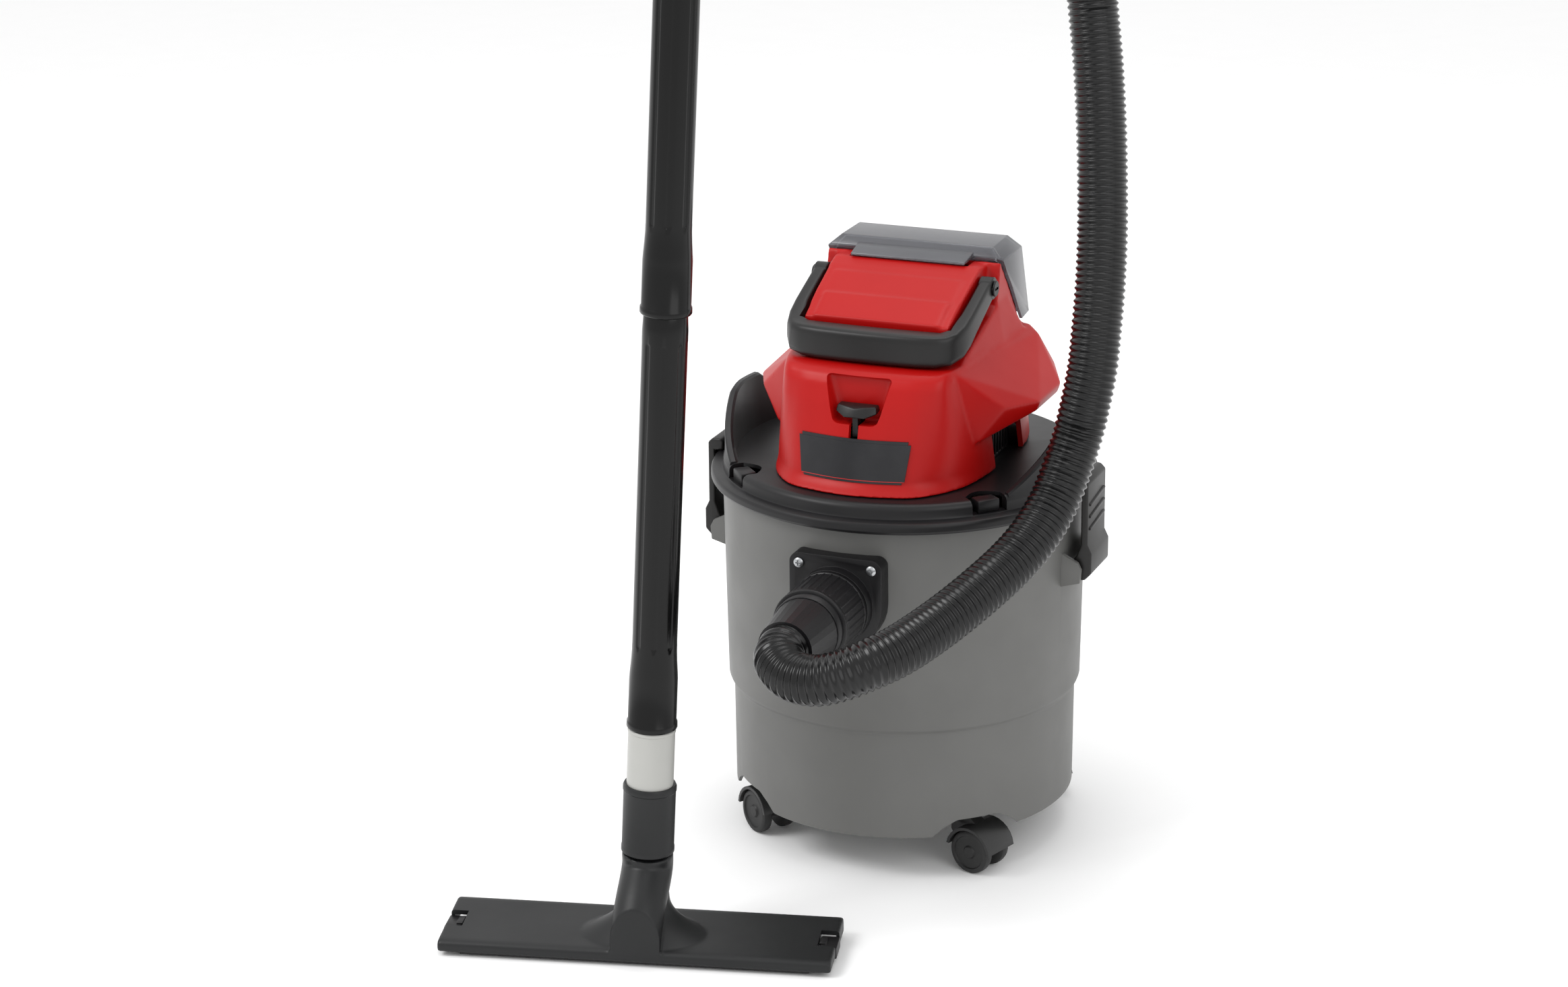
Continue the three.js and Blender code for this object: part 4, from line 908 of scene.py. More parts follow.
# ---------- head ----------
@dataclass
class Head:
    """The black deck that closes the drum, with its fins, pockets and seal."""

    flange_radius: float = 156.2
    wall_radius: float = 146.0
    deck: float = 318.0
    spigot_radius: float = 141.0
    pocket_turn: float = 47.0
    pocket_half: float = 15.0
    fins: tuple[float, float] = (-36.0, 30.0)

    def deck_ring(self) -> bpy.types.Object:
        """Returns the turned deck with its rim and spigot."""
        f, w, s, d = self.flange_radius, self.wall_radius, self.spigot_radius, self.deck
        profile = [(50, d - 3), (50, d), (w - 5.5, d), (w - 3.2, d - 0.5), (w - 1.4, d - 1.7), (w - 0.3, d - 3.4),
                   (w, d - 5), (w, 308.4), (w + 0.8, 306.6), (w + 2.4, 306.1), (f - 2.6, 306.1), (f - 1, 305.4),
                   (f - 0.2, 304), (f, 302.5), (f, 299.4), (f - 0.9, 298), (150, 298), (149.6, 295.2),
                   (147.7, 295.2), (147.6, 299.3), (s, 299.3), (s, 287), (s - 3, 287), (s - 3, d - 3)]
        return turned("head_deck", profile, UP, 160)

    def fin(self, side: int) -> bpy.types.Object:
        """Returns the raised deflector at one side's edge."""
        a, b = (math.radians(t) for t in self.fins)
        r = self.wall_radius
        steps = 24
        top = {0.0: 319.0, 0.28: 344.0, 0.42: 358.0, 0.52: 361.0, 0.72: 360.5, 1.0: 321.0}
        keys = list(top)
        outline: list[list[Point]] = []
        for k in range(steps + 1):
            t = k / steps
            low = max(q for q in keys if q <= t)
            high = min(q for q in keys if q >= t)
            rise = top[low] + (top[high] - top[low]) * ((t - low) / (high - low) if high > low else 0)
            angle = a + (b - a) * t
            c, n = math.cos(angle), math.sin(angle)
            ring = [(r - 1, 315.0), (r - 1.4, rise - 1.5), (r - 2.6, rise), (r - 6, rise), (r - 8, rise - 1.5),
                    (r - 12, 315.0)]
            outline.append([(side * q * c, q * n, z) for q, z in ring])
        return lofted("fin", outline, UP)

    def build(self) -> None:
        """Builds the deck."""
        deck = self.deck_ring()
        for side in (-1, 1):
            carved(deck, Cut.ADD, self.fin(side))
            facing = math.radians(side * self.pocket_turn)
            half = self.pocket_half
            across = [half - half * k / 6 for k in range(13)]
            rim = [(x, 9 * math.cos(x / half * math.pi / 2) - 133) for x in across]
            bay = prism("bay", [(-half, -160), (half, -160), *rim], 307.0, 325.0, place_matrix(turn=facing))
            carved(deck, Cut.REMOVE, bay)
            lug = prism("lug", [(-9.5, -144.2), (9.5, -144.2), (9, -131), (-9, -131)], 306.4, 317.0,
                        place_matrix(turn=facing))
            carved(deck, Cut.ADD, softened(lug, 1.4, 2))
        dress(deck, HEAD_BLACK, "head", "head_plastic", "head_base", angle=32.0)
        keep_node("head_seal", RUBBER)


# ---------- cowl ----------
@dataclass
class Cowl:
    """The red motor cowl: a rounded body with wings, a switch recess, vents, and the open battery bay."""

    foot: float = 318.3
    shoulder: float = 412.0
    foot_outline: Outline = ((0, -134), (30, -130), (56, -119), (79, -84), (88, -30), (88, 50), (64, 98), (0, 112))
    shoulder_outline: Outline = ((0, -95), (30, -93), (52, -90), (68, -80), (75, -30), (76, 60), (58, 90), (0, 92))
    fronts: dict[float, float] = field(default_factory=lambda: {
        318.3: -134.0, 320.5: -131.0, 324.0: -127.0, 328.0: -124.2, 345.0: -120.5, 361.0: -117.0, 385.0: -111.5,
        400.0: -107.0, 406.0: -103.5, 410.0: -98.5, 412.0: -92.0})
    wall: float = 3.0
    bay_half: float = 41.3
    bay: tuple[float, float, float] = (24.2, 78.8, 380.4)
    port_z: float = 346.0
    hinge: tuple[float, float] = (96.0, 421.0)

    def section(self, z: float, front: float) -> list[Point]:
        """Returns the body's outline at a height whose middle reaches front."""
        t = (z - self.foot) / (self.shoulder - self.foot)
        half: list[Point] = []
        for (ax, ay), (bx, by) in zip(self.foot_outline, self.shoulder_outline, strict=True):
            x, y = ax + (bx - ax) * t, ay + (by - ay) * t
            centre = self.foot_outline[0][1] + (self.shoulder_outline[0][1] - self.foot_outline[0][1]) * t
            weight = min(1.0, max(0.0, (-y - 30) / 60))
            half.append((x, y + (front - centre) * weight, z))
        other = [(-x, y, z) for x, y, z in half[-2:0:-1]]
        return eased_ring([*half, *other])

    def body(self, name: str = "cowl_shell", shift: float = 0.0) -> bpy.types.Object:
        """Returns the lower body's plain form, pushed forwards by shift millimetres."""
        return lofted(name, [[(x, y - shift, z) for x, y, z in self.section(z, f)] for z, f in self.fronts.items()],
                      UP)

    def upper(self, i: float) -> bpy.types.Object:
        """Returns the body between the handle's arms, drawn in by i millimetres."""
        return hulled("upper", [
            (59 - i, -64 + i, 400), (60 - i, -66 + i, 441 - i), (61 - i, -36, 455.5 - i), (62 - i, -6, 467.5 - i),
            (62 - i, 8, 472 - i), (63 - i, 26, 472 - i), (65 - i, 74 - i, 466 - i), (67 - i, 82 - i, 432 - i),
            (67 - i, 83 - i, 400)], UP, mirror=True)

    def wing(self, i: float, side: int) -> bpy.types.Object:
        """Returns one side wing, drawn in by i millimetres."""
        rows = [(60, -80 + i, 410 - i), (68, -80 + i, 410 - i), (60, 78 - i, 411 - i), (80 - i, 74 - i, 411 - i),
                (90 - i, 67 - i, 406 - i), (118 - i, -12 + i, 373), (118 - i, 42 - i, 373), (115 - i, -12 + i, 365 + i),
                (115 - i, 42 - i, 365 + i), (103 - i, 72 - i, 380), (102 - i, -50 + i, 376), (84, -62 + i, 350 + i),
                (84, 70 - i, 350 + i), (60, -62 + i, 340 + i), (60, 70 - i, 340 + i)]
        return hulled("wing", [(side * x, y, z) for x, y, z in rows], UP)

    def ledges(self) -> list[bpy.types.Object]:
        """Returns the slopes under the handle's arms and the cheeks before the cover."""
        forms = []
        # two shallow steps across the panel
        for low, high, rise, half in (((-66, 440.5), (-40, 453.5), 2.0, 53.0), ((-44, 451.5), (-12, 465.0), 1.0, 55.0)):
            (ya, za), (yb, zb) = low, high
            rows = [(half, ya, za), (half, yb, zb), (half - 1.5, ya - 0.45 * rise, za + 0.9 * rise),
                    (half - 1.5, yb - 0.45 * rise, zb + 0.9 * rise)]
            forms.append(hulled("step", rows, UP, mirror=True))
        for side in (-1, 1):
            slope = [(56, -84, 405), (70, -84, 405), (56, 14, 442), (73.5, 14, 441), (56, 70, 405), (82, 66, 405),
                     (80, 14, 405), (56, 40, 442), (73.5, 40, 441)]
            forms.append(hulled("slope", [(side * x, y, z) for x, y, z in slope], UP))
            cheek = [(13, 405), (13, 444), (20.5, 473.2), (22.4, 473.2), (43, 449), (71, 414), (72, 405)]
            rows = [(side * x, y, z) for x in (56, 73) for y, z in cheek]
            forms.append(hulled("cheek", rows, UP))
        return forms

    def pocket(self, grow: float) -> bpy.types.Object:
        """Returns the switch recess as a form, larger by grow millimetres."""
        g = grow
        return hulled("pocket", [(33 + g, -160, 408 + g), (19.5 + g, -160, 371 - g), (27 + g, -96 + g, 407 + g),
                                 (17 + g, -97 + g, 371 - g)], UP, mirror=True)

    def build(self) -> None:
        """Builds the cowl with its plate, vents, port and switch."""
        shell = self.body()
        carved(shell, Cut.ADD, self.upper(0), self.wing(0, 1), self.wing(0, -1), *self.ledges())
        rounded(shell, 1.5, 7)
        flat = block("flat", (-200, -200, 300), (200, 200, self.foot), UP)
        carved(shell, Cut.REMOVE, flat)
        recess = softened(self.pocket(0), 4.5, 5)
        carved(shell, Cut.REMOVE, recess)
        inside = self.body("inside")
        inside.data.transform(Matrix.Translation(at(0, 0, self.foot)) @ Matrix.Diagonal((0.955, 0.96, 0.985, 1.0))
                              @ Matrix.Translation(-at(0, 0, self.foot + 1.5)))
        carved(inside, Cut.ADD, self.upper(self.wall + 0.6), self.wing(self.wall + 0.6, 1),
               self.wing(self.wall + 0.6, -1))
        carved(inside, Cut.REMOVE, self.pocket(self.wall))
        carved(shell, Cut.REMOVE, inside)
        self.open_up(shell)
        dress(shell, COWL_RED, "head", "cowl_plastic", "cowl", angle=40.0)
        self.plate()
        self.vents()
        self.port()
        self.rocker()

    def open_up(self, shell: bpy.types.Object) -> None:
        """Cuts the bay, the slot, the vents and the bores into the cowl, and adds the cover's knuckles."""
        y0, y1, low = self.bay
        carved(shell, Cut.REMOVE, block("bay", (-self.bay_half, y0, low), (self.bay_half, y1, 520), UP))
        carved(shell, Cut.REMOVE, block("slot", (-3.8, -150, 357), (3.8, -92, 380), UP))
        for side in (-1, 1):
            low_x, high_x = sorted((side * 70, side * 130))
            vent = softened(block("vent", (low_x, -30, 300), (high_x, 34, 352), UP), 5, 4)
            carved(shell, Cut.REMOVE, vent)
        carved(shell, Cut.REMOVE, rod(19.5, -130, -60, along_front(0, self.port_z), 48))
        carved(shell, Cut.REMOVE, rod(3, -85, 85, along_side(0, 458)))
        recess = hulled("finger", [(50, 5, 473.5), (50, 5, 480), (50, 25, 464), (50, 25, 480)], UP, mirror=True)
        carved(shell, Cut.REMOVE, recess)
        y, z = self.hinge
        turn = UP @ ALONG_X
        for a, b in ((-36, -22), (22, 36)):
            ear = prism("ear", [(80.8, z - 10), (y, z - 4), (y + 3.4, z), (y, z + 4), (80.8, z + 6)], a, b, turn)
            carved(shell, Cut.ADD, ear)
        carved(shell, Cut.REMOVE, rod(2.3, -70, 70, along_side(y, z)))

    def plate(self) -> None:
        """Builds the blank rating plate with its thin red border."""
        trapezoid = [(-44, 361), (-40.5, 328), (40.5, 328), (44, 361)]
        facing = Matrix.Translation(at(0, 0, 0)) @ Matrix.Rotation(math.pi / 2, 4, "X")
        layers = (("label_plate_base", 0.0, 1.0, 0.3, PLATE_DARK), ("label_plate_line", -1.7, 1.2, 0.9, TRIM_RED),
                  ("label_plate_face", -2.3, 1.35, 0.9, PLATE_DARK))
        for name, grow, lift, sunk, finish in layers:
            skin = self.body(name, lift)
            top = -4.0 if finish is TRIM_RED else grow
            keep = [(x + math.copysign(grow, x), z + (top if z > 340 else -grow)) for x, z in trapezoid]
            carved(skin, Cut.KEEP, prism("outline", keep, 100, 160, facing))
            carved(skin, Cut.REMOVE, self.body("under", sunk))
            dress(skin, finish, "head", "label", *(["label_plate"] if grow == 0 else []), angle=30.0)

    def vents(self) -> None:
        """Builds the slatted exhaust grilles under the wings."""
        for side, key in ((-1, "left"), (1, "right")):
            slat = softened(block("slat", (-1.5, -1.5, 0), (1.5, 1.5, 31.5), Matrix()), 0.5, 2)
            row = repeated(slat, HEAD_BLACK, 9, (0, 7, 0), matrix=place_matrix(side * 75.5, -26, 319.2))
            row.name = f"exhaust_slats_{key}"
            frame_form = block("grille_frame", (side * 75.5 - 1.5, -29, 318.6), (side * 75.5 + 1.5, 33, 351.4), UP)
            carved(frame_form, Cut.REMOVE, block("hole", (side * 75.5 - 4, -27, 321), (side * 75.5 + 4, 31, 349), UP))
            softened(frame_form, 0.4, 2)
            frame_form.name = f"exhaust_frame_{key}"
            dress(row, HEAD_BLACK, "head", "head_plastic", f"exhaust_grille_{key}")
            dress(frame_form, HEAD_BLACK, "head", "head_plastic")

    def port(self) -> None:
        """Builds the blowing connection at the back."""
        profile = [(16.6, 84), (19.2, 84), (19.2, 113), (23.4, 113), (24, 113.6), (24, 116.2), (23.2, 117),
                   (19.6, 117), (19.2, 117.4), (19, 133), (18.4, 134), (17.2, 134), (16.6, 133.4)]
        tube = turned("blower_socket", profile, Matrix.Translation(at(0, 0, self.port_z))
                      @ Matrix.Rotation(-math.pi / 2, 4, "X"), 64)
        dress(tube, HEAD_BLACK, "head", "head_plastic", "blower_port")

    def rocker(self) -> None:
        """Builds the wing-shaped switch with its pointer in the slot."""
        wing = hulled("switch_wing", [(17, -101, 381), (17, -110, 380), (16, -101, 385.5), (16, -108, 385),
                                      (8, -116, 377), (8, -101, 374), (0, -114, 384)], UP, mirror=True)
        softened(wing, 1.2, 4)
        carved(wing, Cut.ADD, block("stem", (-2.2, -112, 361), (2.2, -105, 377), UP))
        dress(wing, HANDLE_BLACK, "switch", "switch_plastic", "switch_rocker")


# ---------- handle, battery and cover ----------
@dataclass
class CarryHandle:
    """The folding carry handle and its two pivots."""

    pivot: tuple[float, float] = (0.0, 458.0)
    half: float = 75.0

    def bow(self) -> bpy.types.Object:
        """Returns the bow: a rounded section that thickens from each arm into the grip."""
        half_path = [((69.5, 5, 459.5), 5.4, 7.6), ((69.5, -8, 455), 5.4, 8.6), ((69.5, -26, 447.5), 5.5, 9.2),
                     ((69.3, -44, 440), 5.8, 9.8), ((68.3, -57, 434), 6.6, 10.6), ((65.5, -67, 429.5), 8.0, 11.4),
                     ((60.5, -73.5, 427), 9.4, 12.2), ((53, -76.5, 426.2), 10.6, 12.8), ((40, -78, 426), 11.2, 13.0),
                     ((20, -79, 426), 11.4, 13.0), ((0, -79.3, 426), 11.4, 13.0)]
        path = [*half_path, *[((-x, y, z), w, h) for (x, y, z), w, h in half_path[-2::-1]]]
        centres = [Vector(p) for p, _, _ in path]
        sections: list[list[Point]] = []
        for i, (_, wide, tall) in enumerate(path):
            along = (centres[min(i + 1, len(path) - 1)] - centres[max(i - 1, 0)]).normalized()
            across = along.cross(Vector((0, 0, 1))).normalized()
            over = across.cross(along)
            ring: list[Point] = []
            for k in range(40):
                c, n = math.cos(math.pi * k / 20), math.sin(math.pi * k / 20)
                u = math.copysign(abs(c) ** 0.42, c) * wide
                v = math.copysign(abs(n) ** 0.42, n) * tall
                p = centres[i] + across * u + over * v
                ring.append((p.x, p.y, p.z))
            sections.append(ring)
        bow = lofted("handle_bow", sections, UP)
        clear = hulled("clear", [(63, -61.5, 400), (63, -68.5, 442), (64, -20, 480), (64, 0, 400)], UP, mirror=True)
        carved(bow, Cut.REMOVE, clear)
        y, z = self.pivot
        across_x = along_side(y, z)
        for side in (-1, 1):
            edge = [(0, 64.2), (8.4, 64.2), (9, 64.8), (9, 74.3), (8.2, 75), (0, 75)]
            eye = turned("eye", [(r, side * q) for r, q in edge], across_x, 48)
            carved(bow, Cut.ADD, eye)
        carved(bow, Cut.REMOVE, rod(4.3, -90, 90, across_x, 32))
        return bow

    def build(self) -> None:
        """Builds the handle."""
        handle = self.bow()
        dress(handle, HANDLE_BLACK, "handle", "handle_plastic", "carry_handle", angle=32.0)
        y, z = self.pivot
        h = self.half
        for side, key in ((-1, "left"), (1, "right")):
            along = Matrix.Translation(at(0, y, z)) @ Matrix.Rotation(side * math.pi / 2, 4, "Y")
            profile = [(0, 52), (2.7, 52), (2.7, h - 10.4), (4, h - 10.4), (4, h + 0.5), (6, h + 0.5), (6.4, h + 0.9),
                       (6.4, h + 1.7), (5.8, h + 2.2), (0, h + 2.2)]
            pin = turned(f"handle_pin_{key}", profile, along, 48)
            inner, outer = sorted((side * h, side * (h + 9)))
            carved(pin, Cut.REMOVE, block("slot", (inner, y - 4, z - 1.1), (outer, y + 4, z + 1.1), UP))
            dress(pin, HEAD_BLACK, "head", "head_plastic", f"handle_pivot_{key}")


@dataclass
class BatteryBay:
    """The dock, the pack, and the smoke lid over them."""

    half: float = 74.5
    front: float = 24.0
    rear: float = 91.0
    top: float = 484.0
    low: float = 414.0
    wall: float = 2.3
    hinge: tuple[float, float] = (96.0, 421.0)

    def form(self, i: float) -> bpy.types.Object:
        """Returns the lid's form, drawn in by i millimetres."""
        drop = 14 if i > 0 else 0
        ahead = 8 if i > 0 else 0
        h, f, r, t, low = self.half - i, self.front, self.rear, self.top, self.low
        return hulled("lid", [(h - 3, f + i, 476.5 - i), (h - 10, f + 6 + i, t - 0.5 - i), (h - 11, 68 - i, t - i),
                              (h - 4, r - 8 - i, t - 12 - i), (h, r - i, low + 2 - drop), (h, 73.5 - ahead, low - drop),
                              (h, f + i, 474.8 - drop)], UP, mirror=True)

    def build(self) -> None:
        """Builds the dock, the pack and the lid."""
        lid = softened(self.form(0), 4.0, 5, 18.0)
        carved(lid, Cut.REMOVE, softened(self.form(self.wall), 2.6, 4, 18.0))
        turn = UP @ ALONG_X
        f = self.front
        gate = [(-20, 300), (f - 1, 470), (f - 1, 474.6), (46, 449.4), (73, self.low), (73, 300)]
        carved(lid, Cut.REMOVE, prism("gate", gate, -90, 90, turn))
        tab = hulled("tab", [(48, 6, 472.8), (48, 6, 475), (49, 29, 474.6), (49, 29, 479.6)], UP, mirror=True)
        softened(tab, 0.7, 3)
        carved(tab, Cut.REMOVE, self.form(self.wall + 0.1))
        carved(lid, Cut.ADD, tab)
        y, z = self.hinge
        for a, b in ((-58, -36.6), (36.6, 58)):
            ear = prism("knuckle", [(self.rear - 3, z + 14), (y + 3, z + 6), (y + 4.6, z), (y + 1, z - 4.4),
                                    (y - 3, z - 4), (self.rear - 3, z - 2)], a, b, turn)
            carved(lid, Cut.ADD, ear)
        carved(lid, Cut.REMOVE, block("between", (-36.6, self.rear - 8, self.low - 10),
                                      (36.6, self.rear + 20, z + 9), UP))
        carved(lid, Cut.REMOVE, rod(2.3, -90, 90, along_side(y, z)))
        lid.name = "battery_lid"
        dress(lid, COVER_SMOKE, "cover", "cover_plastic", "battery_cover", angle=35.0)
        keep_node("cover_hinge_pin", STEEL)
        for node, name, width, finish, body, slot in (
                ("battery_dock", "battery_tray", 0.8, HEAD_BLACK, "head", "head_plastic"),
                ("battery_pack", "battery_case", 1.6, HANDLE_BLACK, "battery", "battery_plastic"),
                ("battery_button", "battery_release", 0.9, TRIM_RED, "battery", "button_plastic")):
            dress(softened(copy_of(node, name), width, 3, 40.0), finish, body, slot, node)


# ---------- latches and inlet ----------
@dataclass
class Latches:
    """The two side latches with slanted grips."""

    half: float = 24.0
    pivot: tuple[float, float] = (153.0, 240.0)
    outline: Outline = ((148.6, 306.6), (148.6, 314), (151, 316.5), (158, 316.5), (162.2, 312.5), (162.2, 262),
                        (165.6, 255), (165.6, 238), (160, 232), (152, 232), (149.4, 235.5), (148.8, 246), (153, 252),
                        (156.6, 262), (156.6, 306.6))

    def build(self) -> None:
        """Builds both latches."""
        for side, key in ((-1, "left"), (1, "right")):
            stand = (Matrix.Translation(at(0, 0, 0)) @ Matrix.Scale(side, 4, (1, 0, 0))
                     @ Matrix.Rotation(math.pi / 2, 4, "X"))
            body = prism(f"latch_lever_{key}", self.outline, -self.half, self.half, stand)
            softened(body, 1.7, 4, 30.0)
            rib = softened(prism("rib", [(160.5, -2), (163.6, -0.6), (163.6, 1.2), (160.5, 2)], -self.half + 5,
                                 self.half - 5, Matrix.Rotation(math.pi / 2, 4, "X")), 0.4, 2)
            rib.data.transform(Matrix.Rotation(0.1, 4, "X"))
            ribs = repeated(rib, LATCH_BLACK, 3, (0, 0, 10), matrix=Matrix.Translation(at(0, 0, 276))
                            @ Matrix.Scale(side, 4, (1, 0, 0)))
            ribs.name = f"latch_grips_{key}"
            x, z = self.pivot
            carved(body, Cut.REMOVE, rod(2.3, -40, 40, along_front(side * x, z)))
            dress(body, LATCH_BLACK, f"latch_{key}", "latch_plastic", f"latch_{key}")
            dress(ribs, LATCH_BLACK, f"latch_{key}", "latch_plastic")


@dataclass
class Inlet:
    """The inlet's bracket and screws, the turning collar and the hose's first cuff."""

    axis: float = 238.0
    ribs: int = 30

    def collar_shape(self, radius: float, angle: float, height: float) -> float:
        """Returns a radius with thin raised lines along the collar."""
        if not 171.5 < height < 208:
            return radius
        return radius + 0.75 * max(0.0, math.cos(angle * self.ribs)) ** 5

    def build(self) -> None:
        """Builds the inlet."""
        bracket = softened(copy_of("inlet_bracket", "inlet_flange"), 1.2, 3, 40.0)
        dress(bracket, HEAD_BLACK, "drum", "inlet_plastic", "inlet_bracket", angle=38.0)
        for side, key in ((-1, "left"), (1, "right")):
            stand = along_front(side * 30, self.axis + 31)
            head = turned(f"inlet_screw_head_{key}", [(0, 151.5), (1.7, 151.5), (1.7, 157.3), (4, 157.3), (4, 158.2),
                                                      (3.2, 159.1), (1.6, 159.5), (0, 159.5)], stand, 32)
            for turn in (0, math.pi / 2):
                cross = prism("cross", [(-2.2, -0.45), (2.2, -0.45), (2.2, 0.45), (-2.2, 0.45)], 158.1, 161,
                              stand @ Matrix.Rotation(turn, 4, "Z"))
                carved(head, Cut.REMOVE, cross)
            dress(head, STEEL, "drum", "pin_steel", f"inlet_screw_{key}")
        stand = along_front(0, self.axis)
        lines = [171.6 + k * 2.0 for k in range(19)]
        profile = [(20, 145.5), (24.1, 145.5), (24.1, 167.3), (29.6, 167.3), (30.4, 168.2), (30.4, 170.8),
                   (29.6, 171.4), *[(29.7, q) for q in lines[:-1]], (29.6, 208.1), (30.4, 208.8), (30.4, 211.3),
                   (29.6, 212.3), (27.8, 212.4), (27.6, 212.8), (27.6, 219.4), (26.9, 220.3), (20, 220.3)]
        collar = turned("hose_collar_ring", profile, stand, 360, self.collar_shape)
        dress(collar, HEAD_BLACK, "collar", "inlet_plastic", "hose_collar", angle=50.0)
        keep_node("hose_cuff", HEAD_BLACK)


# ---------- the wand ----------
LEAN = Vector((0.049, 0.019, 1.0)).normalized()
NECK_TOP: Point = (-97.4, -305.1, 76.6)


@dataclass
class Wand:
    """Two fluted tubes on a light end tube, with a bent hand-piece."""

    radius: float = 17.0
    bore: float = 14.5
    flutes: int = 8
    tube: float = 323.7
    starts: tuple[float, float] = (102.0, 426.3)
    grip_low: float = 750.6

    def stand(self) -> Matrix:
        """Returns the matrix that stands Z along the wand."""
        return aimed(at(*NECK_TOP), LEAN)

    def fluted(self, start: float) -> Callable[[float, float, float], float]:
        """Returns the shape of a tube with sunk flutes, given where the tube starts."""

        def shape(radius: float, angle: float, height: float) -> float:
            if radius < self.radius - 1:
                return radius
            d = height - start
            low, high = 66.0, self.tube - 20
            turn = (angle * self.flutes / (2 * math.pi) + 0.5) % 1.0 - 0.5
            across = abs(turn) * 2 * math.pi * self.radius / self.flutes
            half = 2.3
            past = max(low + half - d, d - (high - half), 0.0)
            reach = math.hypot(across, past)
            depth = min(1.0, max(0.0, (half - reach) / 0.9))
            return radius - 0.75 * depth * depth * (3 - 2 * depth)

        return shape

    def section(self, name: str, start: float) -> bpy.types.Object:
        """Returns one fluted tube."""
        r, end = self.radius, start + self.tube
        fine = [66 + 0.8 * k for k in range(8)] + [80 + 12 * k for k in range(18)]
        fine += [self.tube - 27 + 0.8 * k for k in range(10)]
        fine = [q for q in fine if q < self.tube - 13]
        outer = [(r + 2.0, start + 0.5), (r + 2.4, start + 1.2), (r + 2.2, start + 5), (r + 1.4, start + 6),
                 (r + 1.4, start + 40), (r + 1.0, start + 46), (r + 0.4, start + 54), (r, start + 62),
                 *[(r, start + q) for q in fine], (r, end - 12), (r - 0.6, end - 1), (r - 1, end)]
        profile = [(self.bore, start), (r + 1.6, start), *outer, (self.bore, end)]
        return turned(name, profile, self.stand(), 160, self.fluted(start))

    def grip(self) -> None:
        """Builds the bent hand-piece, its slider and the hose's cuff."""
        first = at(*NECK_TOP) + LEAN * self.grip_low * MM
        knee = first + LEAN * 46 * MM
        end = at(*HOSE_ROUTE[-1])
        out = (at(*HOSE_ROUTE[-2]) - end).normalized()
        cuff = end - out * 40.3 * MM
        shoulder = cuff - out * 24 * MM
        pull = (knee - shoulder).length * 0.35
        a, b, c, d = knee, knee + LEAN * pull, shoulder - out * pull, shoulder
        line = [first, first + LEAN * 0.016, first + LEAN * 0.032]
        for k in range(17):
            t = k / 16
            line.append(a * (1 - t) ** 3 + 3 * b * t * (1 - t) ** 2 + 3 * c * t**2 * (1 - t) + d * t**3)
        line += [shoulder.lerp(cuff, 0.5), cuff]
        shell = swept("hand_grip", line, [self.radius + 2.0] * len(line), 56)
        hollow = swept("hollow", [line[0] - LEAN * 0.004, *line[1:-1], cuff + out * 0.004], [self.bore] * len(line), 40)
        carved(shell, Cut.REMOVE, hollow)
        seat = block("seat", (-20.0, -7, 9), (-16.6, 7, 34), Matrix())
        tilt = Vector((0, 0, 1)).rotation_difference(LEAN).to_matrix().to_4x4()
        seat.data.transform(Matrix.Translation(first) @ tilt)
        carved(shell, Cut.REMOVE, seat)
        dress(shell, WAND_BLACK, "wand", "wand_plastic", "hand_piece", angle=45.0)
        slider = softened(copy_of("air_slider", "suction_slider"), 0.5, 3, 40.0)
        dress(slider, TRIM_RED, "slider", "slider_plastic", "air_slider")
        keep_node("hose_end_cuff", WAND_BLACK)

    def build(self) -> None:
        """Builds the wand."""
        for name, start in zip(("wand_lower", "wand_upper"), self.starts, strict=True):
            dress(self.section(f"{name}_tube", start), WAND_BLACK, "wand", "wand_plastic", name, angle=50.0)
        light = turned("end_tube_sleeve", [(self.bore, 6), (17.9, 6), (17.9, 98.5), (18.4, 99.2), (18.4, 101),
                                           (17.9, 101.7), (self.bore, 101.7)], self.stand(), 96)
        dress(light, END_TUBE_GREY, "wand", "end_tube_plastic", "end_tube")
        collar = turned("nozzle_collar_sleeve", [(18.2, 0.3), (19.6, 0.3), (20.4, 1.2), (20.4, 4.6), (20, 5.4),
                                                 (20, 50.5), (20.5, 51.2), (20.5, 54.2), (19.6, 56), (18.2, 56)],
                        self.stand(), 96)
        dress(collar, NOZZLE_BLACK, "wand", "wand_plastic", "nozzle_collar")
        self.grip()


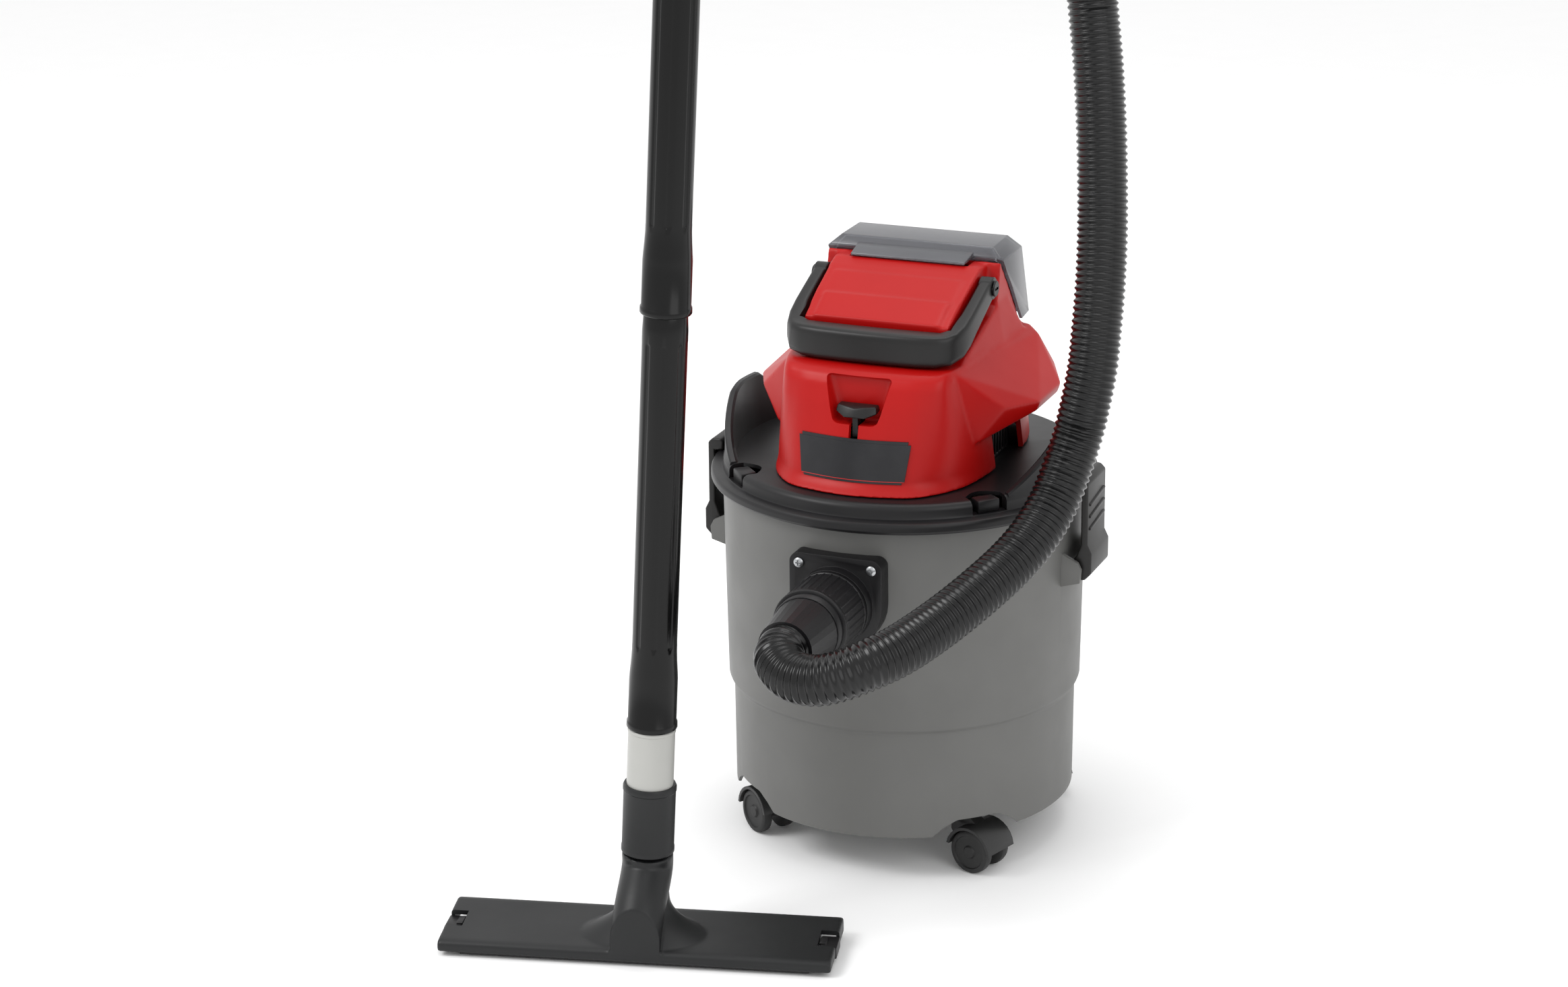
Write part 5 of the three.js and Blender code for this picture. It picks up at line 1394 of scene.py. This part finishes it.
# ---------- the floor nozzle ----------
@dataclass
class Nozzle:
    """The wide floor nozzle: a flat shell with a neck that rises from its front edge."""

    centre: Point = (-100.0, -315.0, 0.0)
    turn_deg: float = 13.2
    length: float = 304.0
    depth: float = 76.0
    foot: float = 3.5
    front: float = 13.0
    rear: float = 17.5
    shell: float = 2.6
    neck_radius: float = 20.0

    def own(self) -> Matrix:
        """Returns the nozzle's own frame."""
        x, y, z = self.centre
        return place_matrix(x, y, z, math.radians(self.turn_deg))

    def build(self) -> None:
        """Builds the nozzle."""
        own = self.own()
        back = own.inverted()
        top = back @ at(*NECK_TOP) * 1000
        lean = (back.to_3x3() @ LEAN).normalized()
        half, deep = self.length / 2, self.depth / 2
        side = own @ ALONG_X
        body = prism("nozzle_shell", [(-deep, self.foot), (-deep, self.front - 3), (-deep + 2.5, self.front - 0.6),
                                      (-deep + 6, self.front), (deep - 6, self.rear), (deep - 2, self.rear - 0.6),
                                      (deep, self.rear - 3), (deep, self.foot)], -half, half, side)
        softened(body, 1.6, 3, 50.0)
        upright = top - lean * 16
        high = top - lean * 0.3
        knots = [Vector((top.x - 3, -deep - 6, 10)), Vector((top.x - 2, -20, 38)), upright, high]
        curve = eased_line(knots, 8)
        line = [own @ (p * MM) for p in curve]
        neck = swept("neck", line, [self.neck_radius - 0.4] * len(line), 64)
        carved(neck, Cut.KEEP, block("keep", (-80, -deep, self.foot), (80, 60, 90), own))
        sections: list[list[Point]] = []
        for level in range(13):
            t = level / 12
            spread = (1 - t) ** 2.4
            z = 12.0 + 30.0 * t
            mid_y = -4.0 + (upright.y + 4.0) * t
            wide, long_ = 17.5 + 40.0 * spread, 17.5 + 15.0 * spread
            ring: list[Point] = []
            for k in range(64):
                c, n = math.cos(math.pi * k / 32), math.sin(math.pi * k / 32)
                ring.append((top.x - 1.5 + wide * c, mid_y + long_ * n, z))
            sections.append(ring)
        flare = lofted("flare", sections, own)
        carved(body, Cut.ADD, neck, flare)
        rounded(body, 1.15, 7)
        above = swept("above", [own @ ((high + lean * q) * MM) for q in (0, 40)], [44, 44], 24)
        inner = deep - self.shell
        hollow = prism("hollow", [(-inner, -2), (-inner, self.front - self.shell - 1),
                                  (inner, self.rear - self.shell - 1), (inner, -2)], -half + self.shell,
                       half - self.shell, side)
        path = [Vector((top.x - 2, -22, 10)), Vector((top.x - 2, -21, 16)), Vector((top.x - 1, -14, 38)), upright,
                top + lean * 4]
        bore = swept("bore", [own @ (p * MM) for p in path], [14.5] * len(path), 40)
        carved(body, Cut.REMOVE, above, hollow, bore)
        for s in (-1, 1):
            x0, x1 = sorted((s * (half - 14), s * (half + 1)))
            carved(body, Cut.REMOVE, block("notch", (x0, -12, 0), (x1, 12, self.rear + 2), own))
        body.name = "nozzle_shell"
        dress(body, NOZZLE_BLACK, "nozzle", "nozzle_plastic", "nozzle_body", angle=40.0)
        for node, name, width in (("nozzle_insert", "nozzle_runner", 0.6), ("nozzle_clip_left", "clip_left", 0.7),
                                  ("nozzle_clip_right", "clip_right", 0.7)):
            dress(softened(copy_of(node, name), width, 2, 40.0), HEAD_BLACK, "nozzle", "nozzle_plastic", node)
        for key in ("front", "rear"):
            strip = softened(copy_of(f"squeegee_{key}", f"squeegee_lip_{key}"), 0.5, 2, 40.0)
            dress(strip, RUBBER, "nozzle", "squeegee_rubber", f"squeegee_{key}")


# ---------- everything inside ----------
INSIDE: dict[str, Finish] = {
    "motor_housing": HEAD_BLACK, "motor_stator": LAMINATION, "motor_rotor": COPPER, "fan_impeller": NYLON_WHITE,
    "control_board": BOARD_GREEN, "filter_cage": HEAD_BLACK, "float_ball": NYLON_WHITE, "filter": PAPER,
    "filter_cap": RUBBER,
}


def main() -> None:
    """Builds the stage and the whole set."""
    logging.basicConfig(level=logging.INFO, format="%(name)s: %(message)s")
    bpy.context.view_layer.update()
    Studio().build()
    for part in (Drum(), Casters(), Head(), Cowl(), CarryHandle(), BatteryBay(), Latches(), Inlet(), Wand(), Nozzle(),
                 Hose()):
        part.build()
    for node, finish in INSIDE.items():
        keep_node(node, finish)


if __name__ == "__main__":
    main()
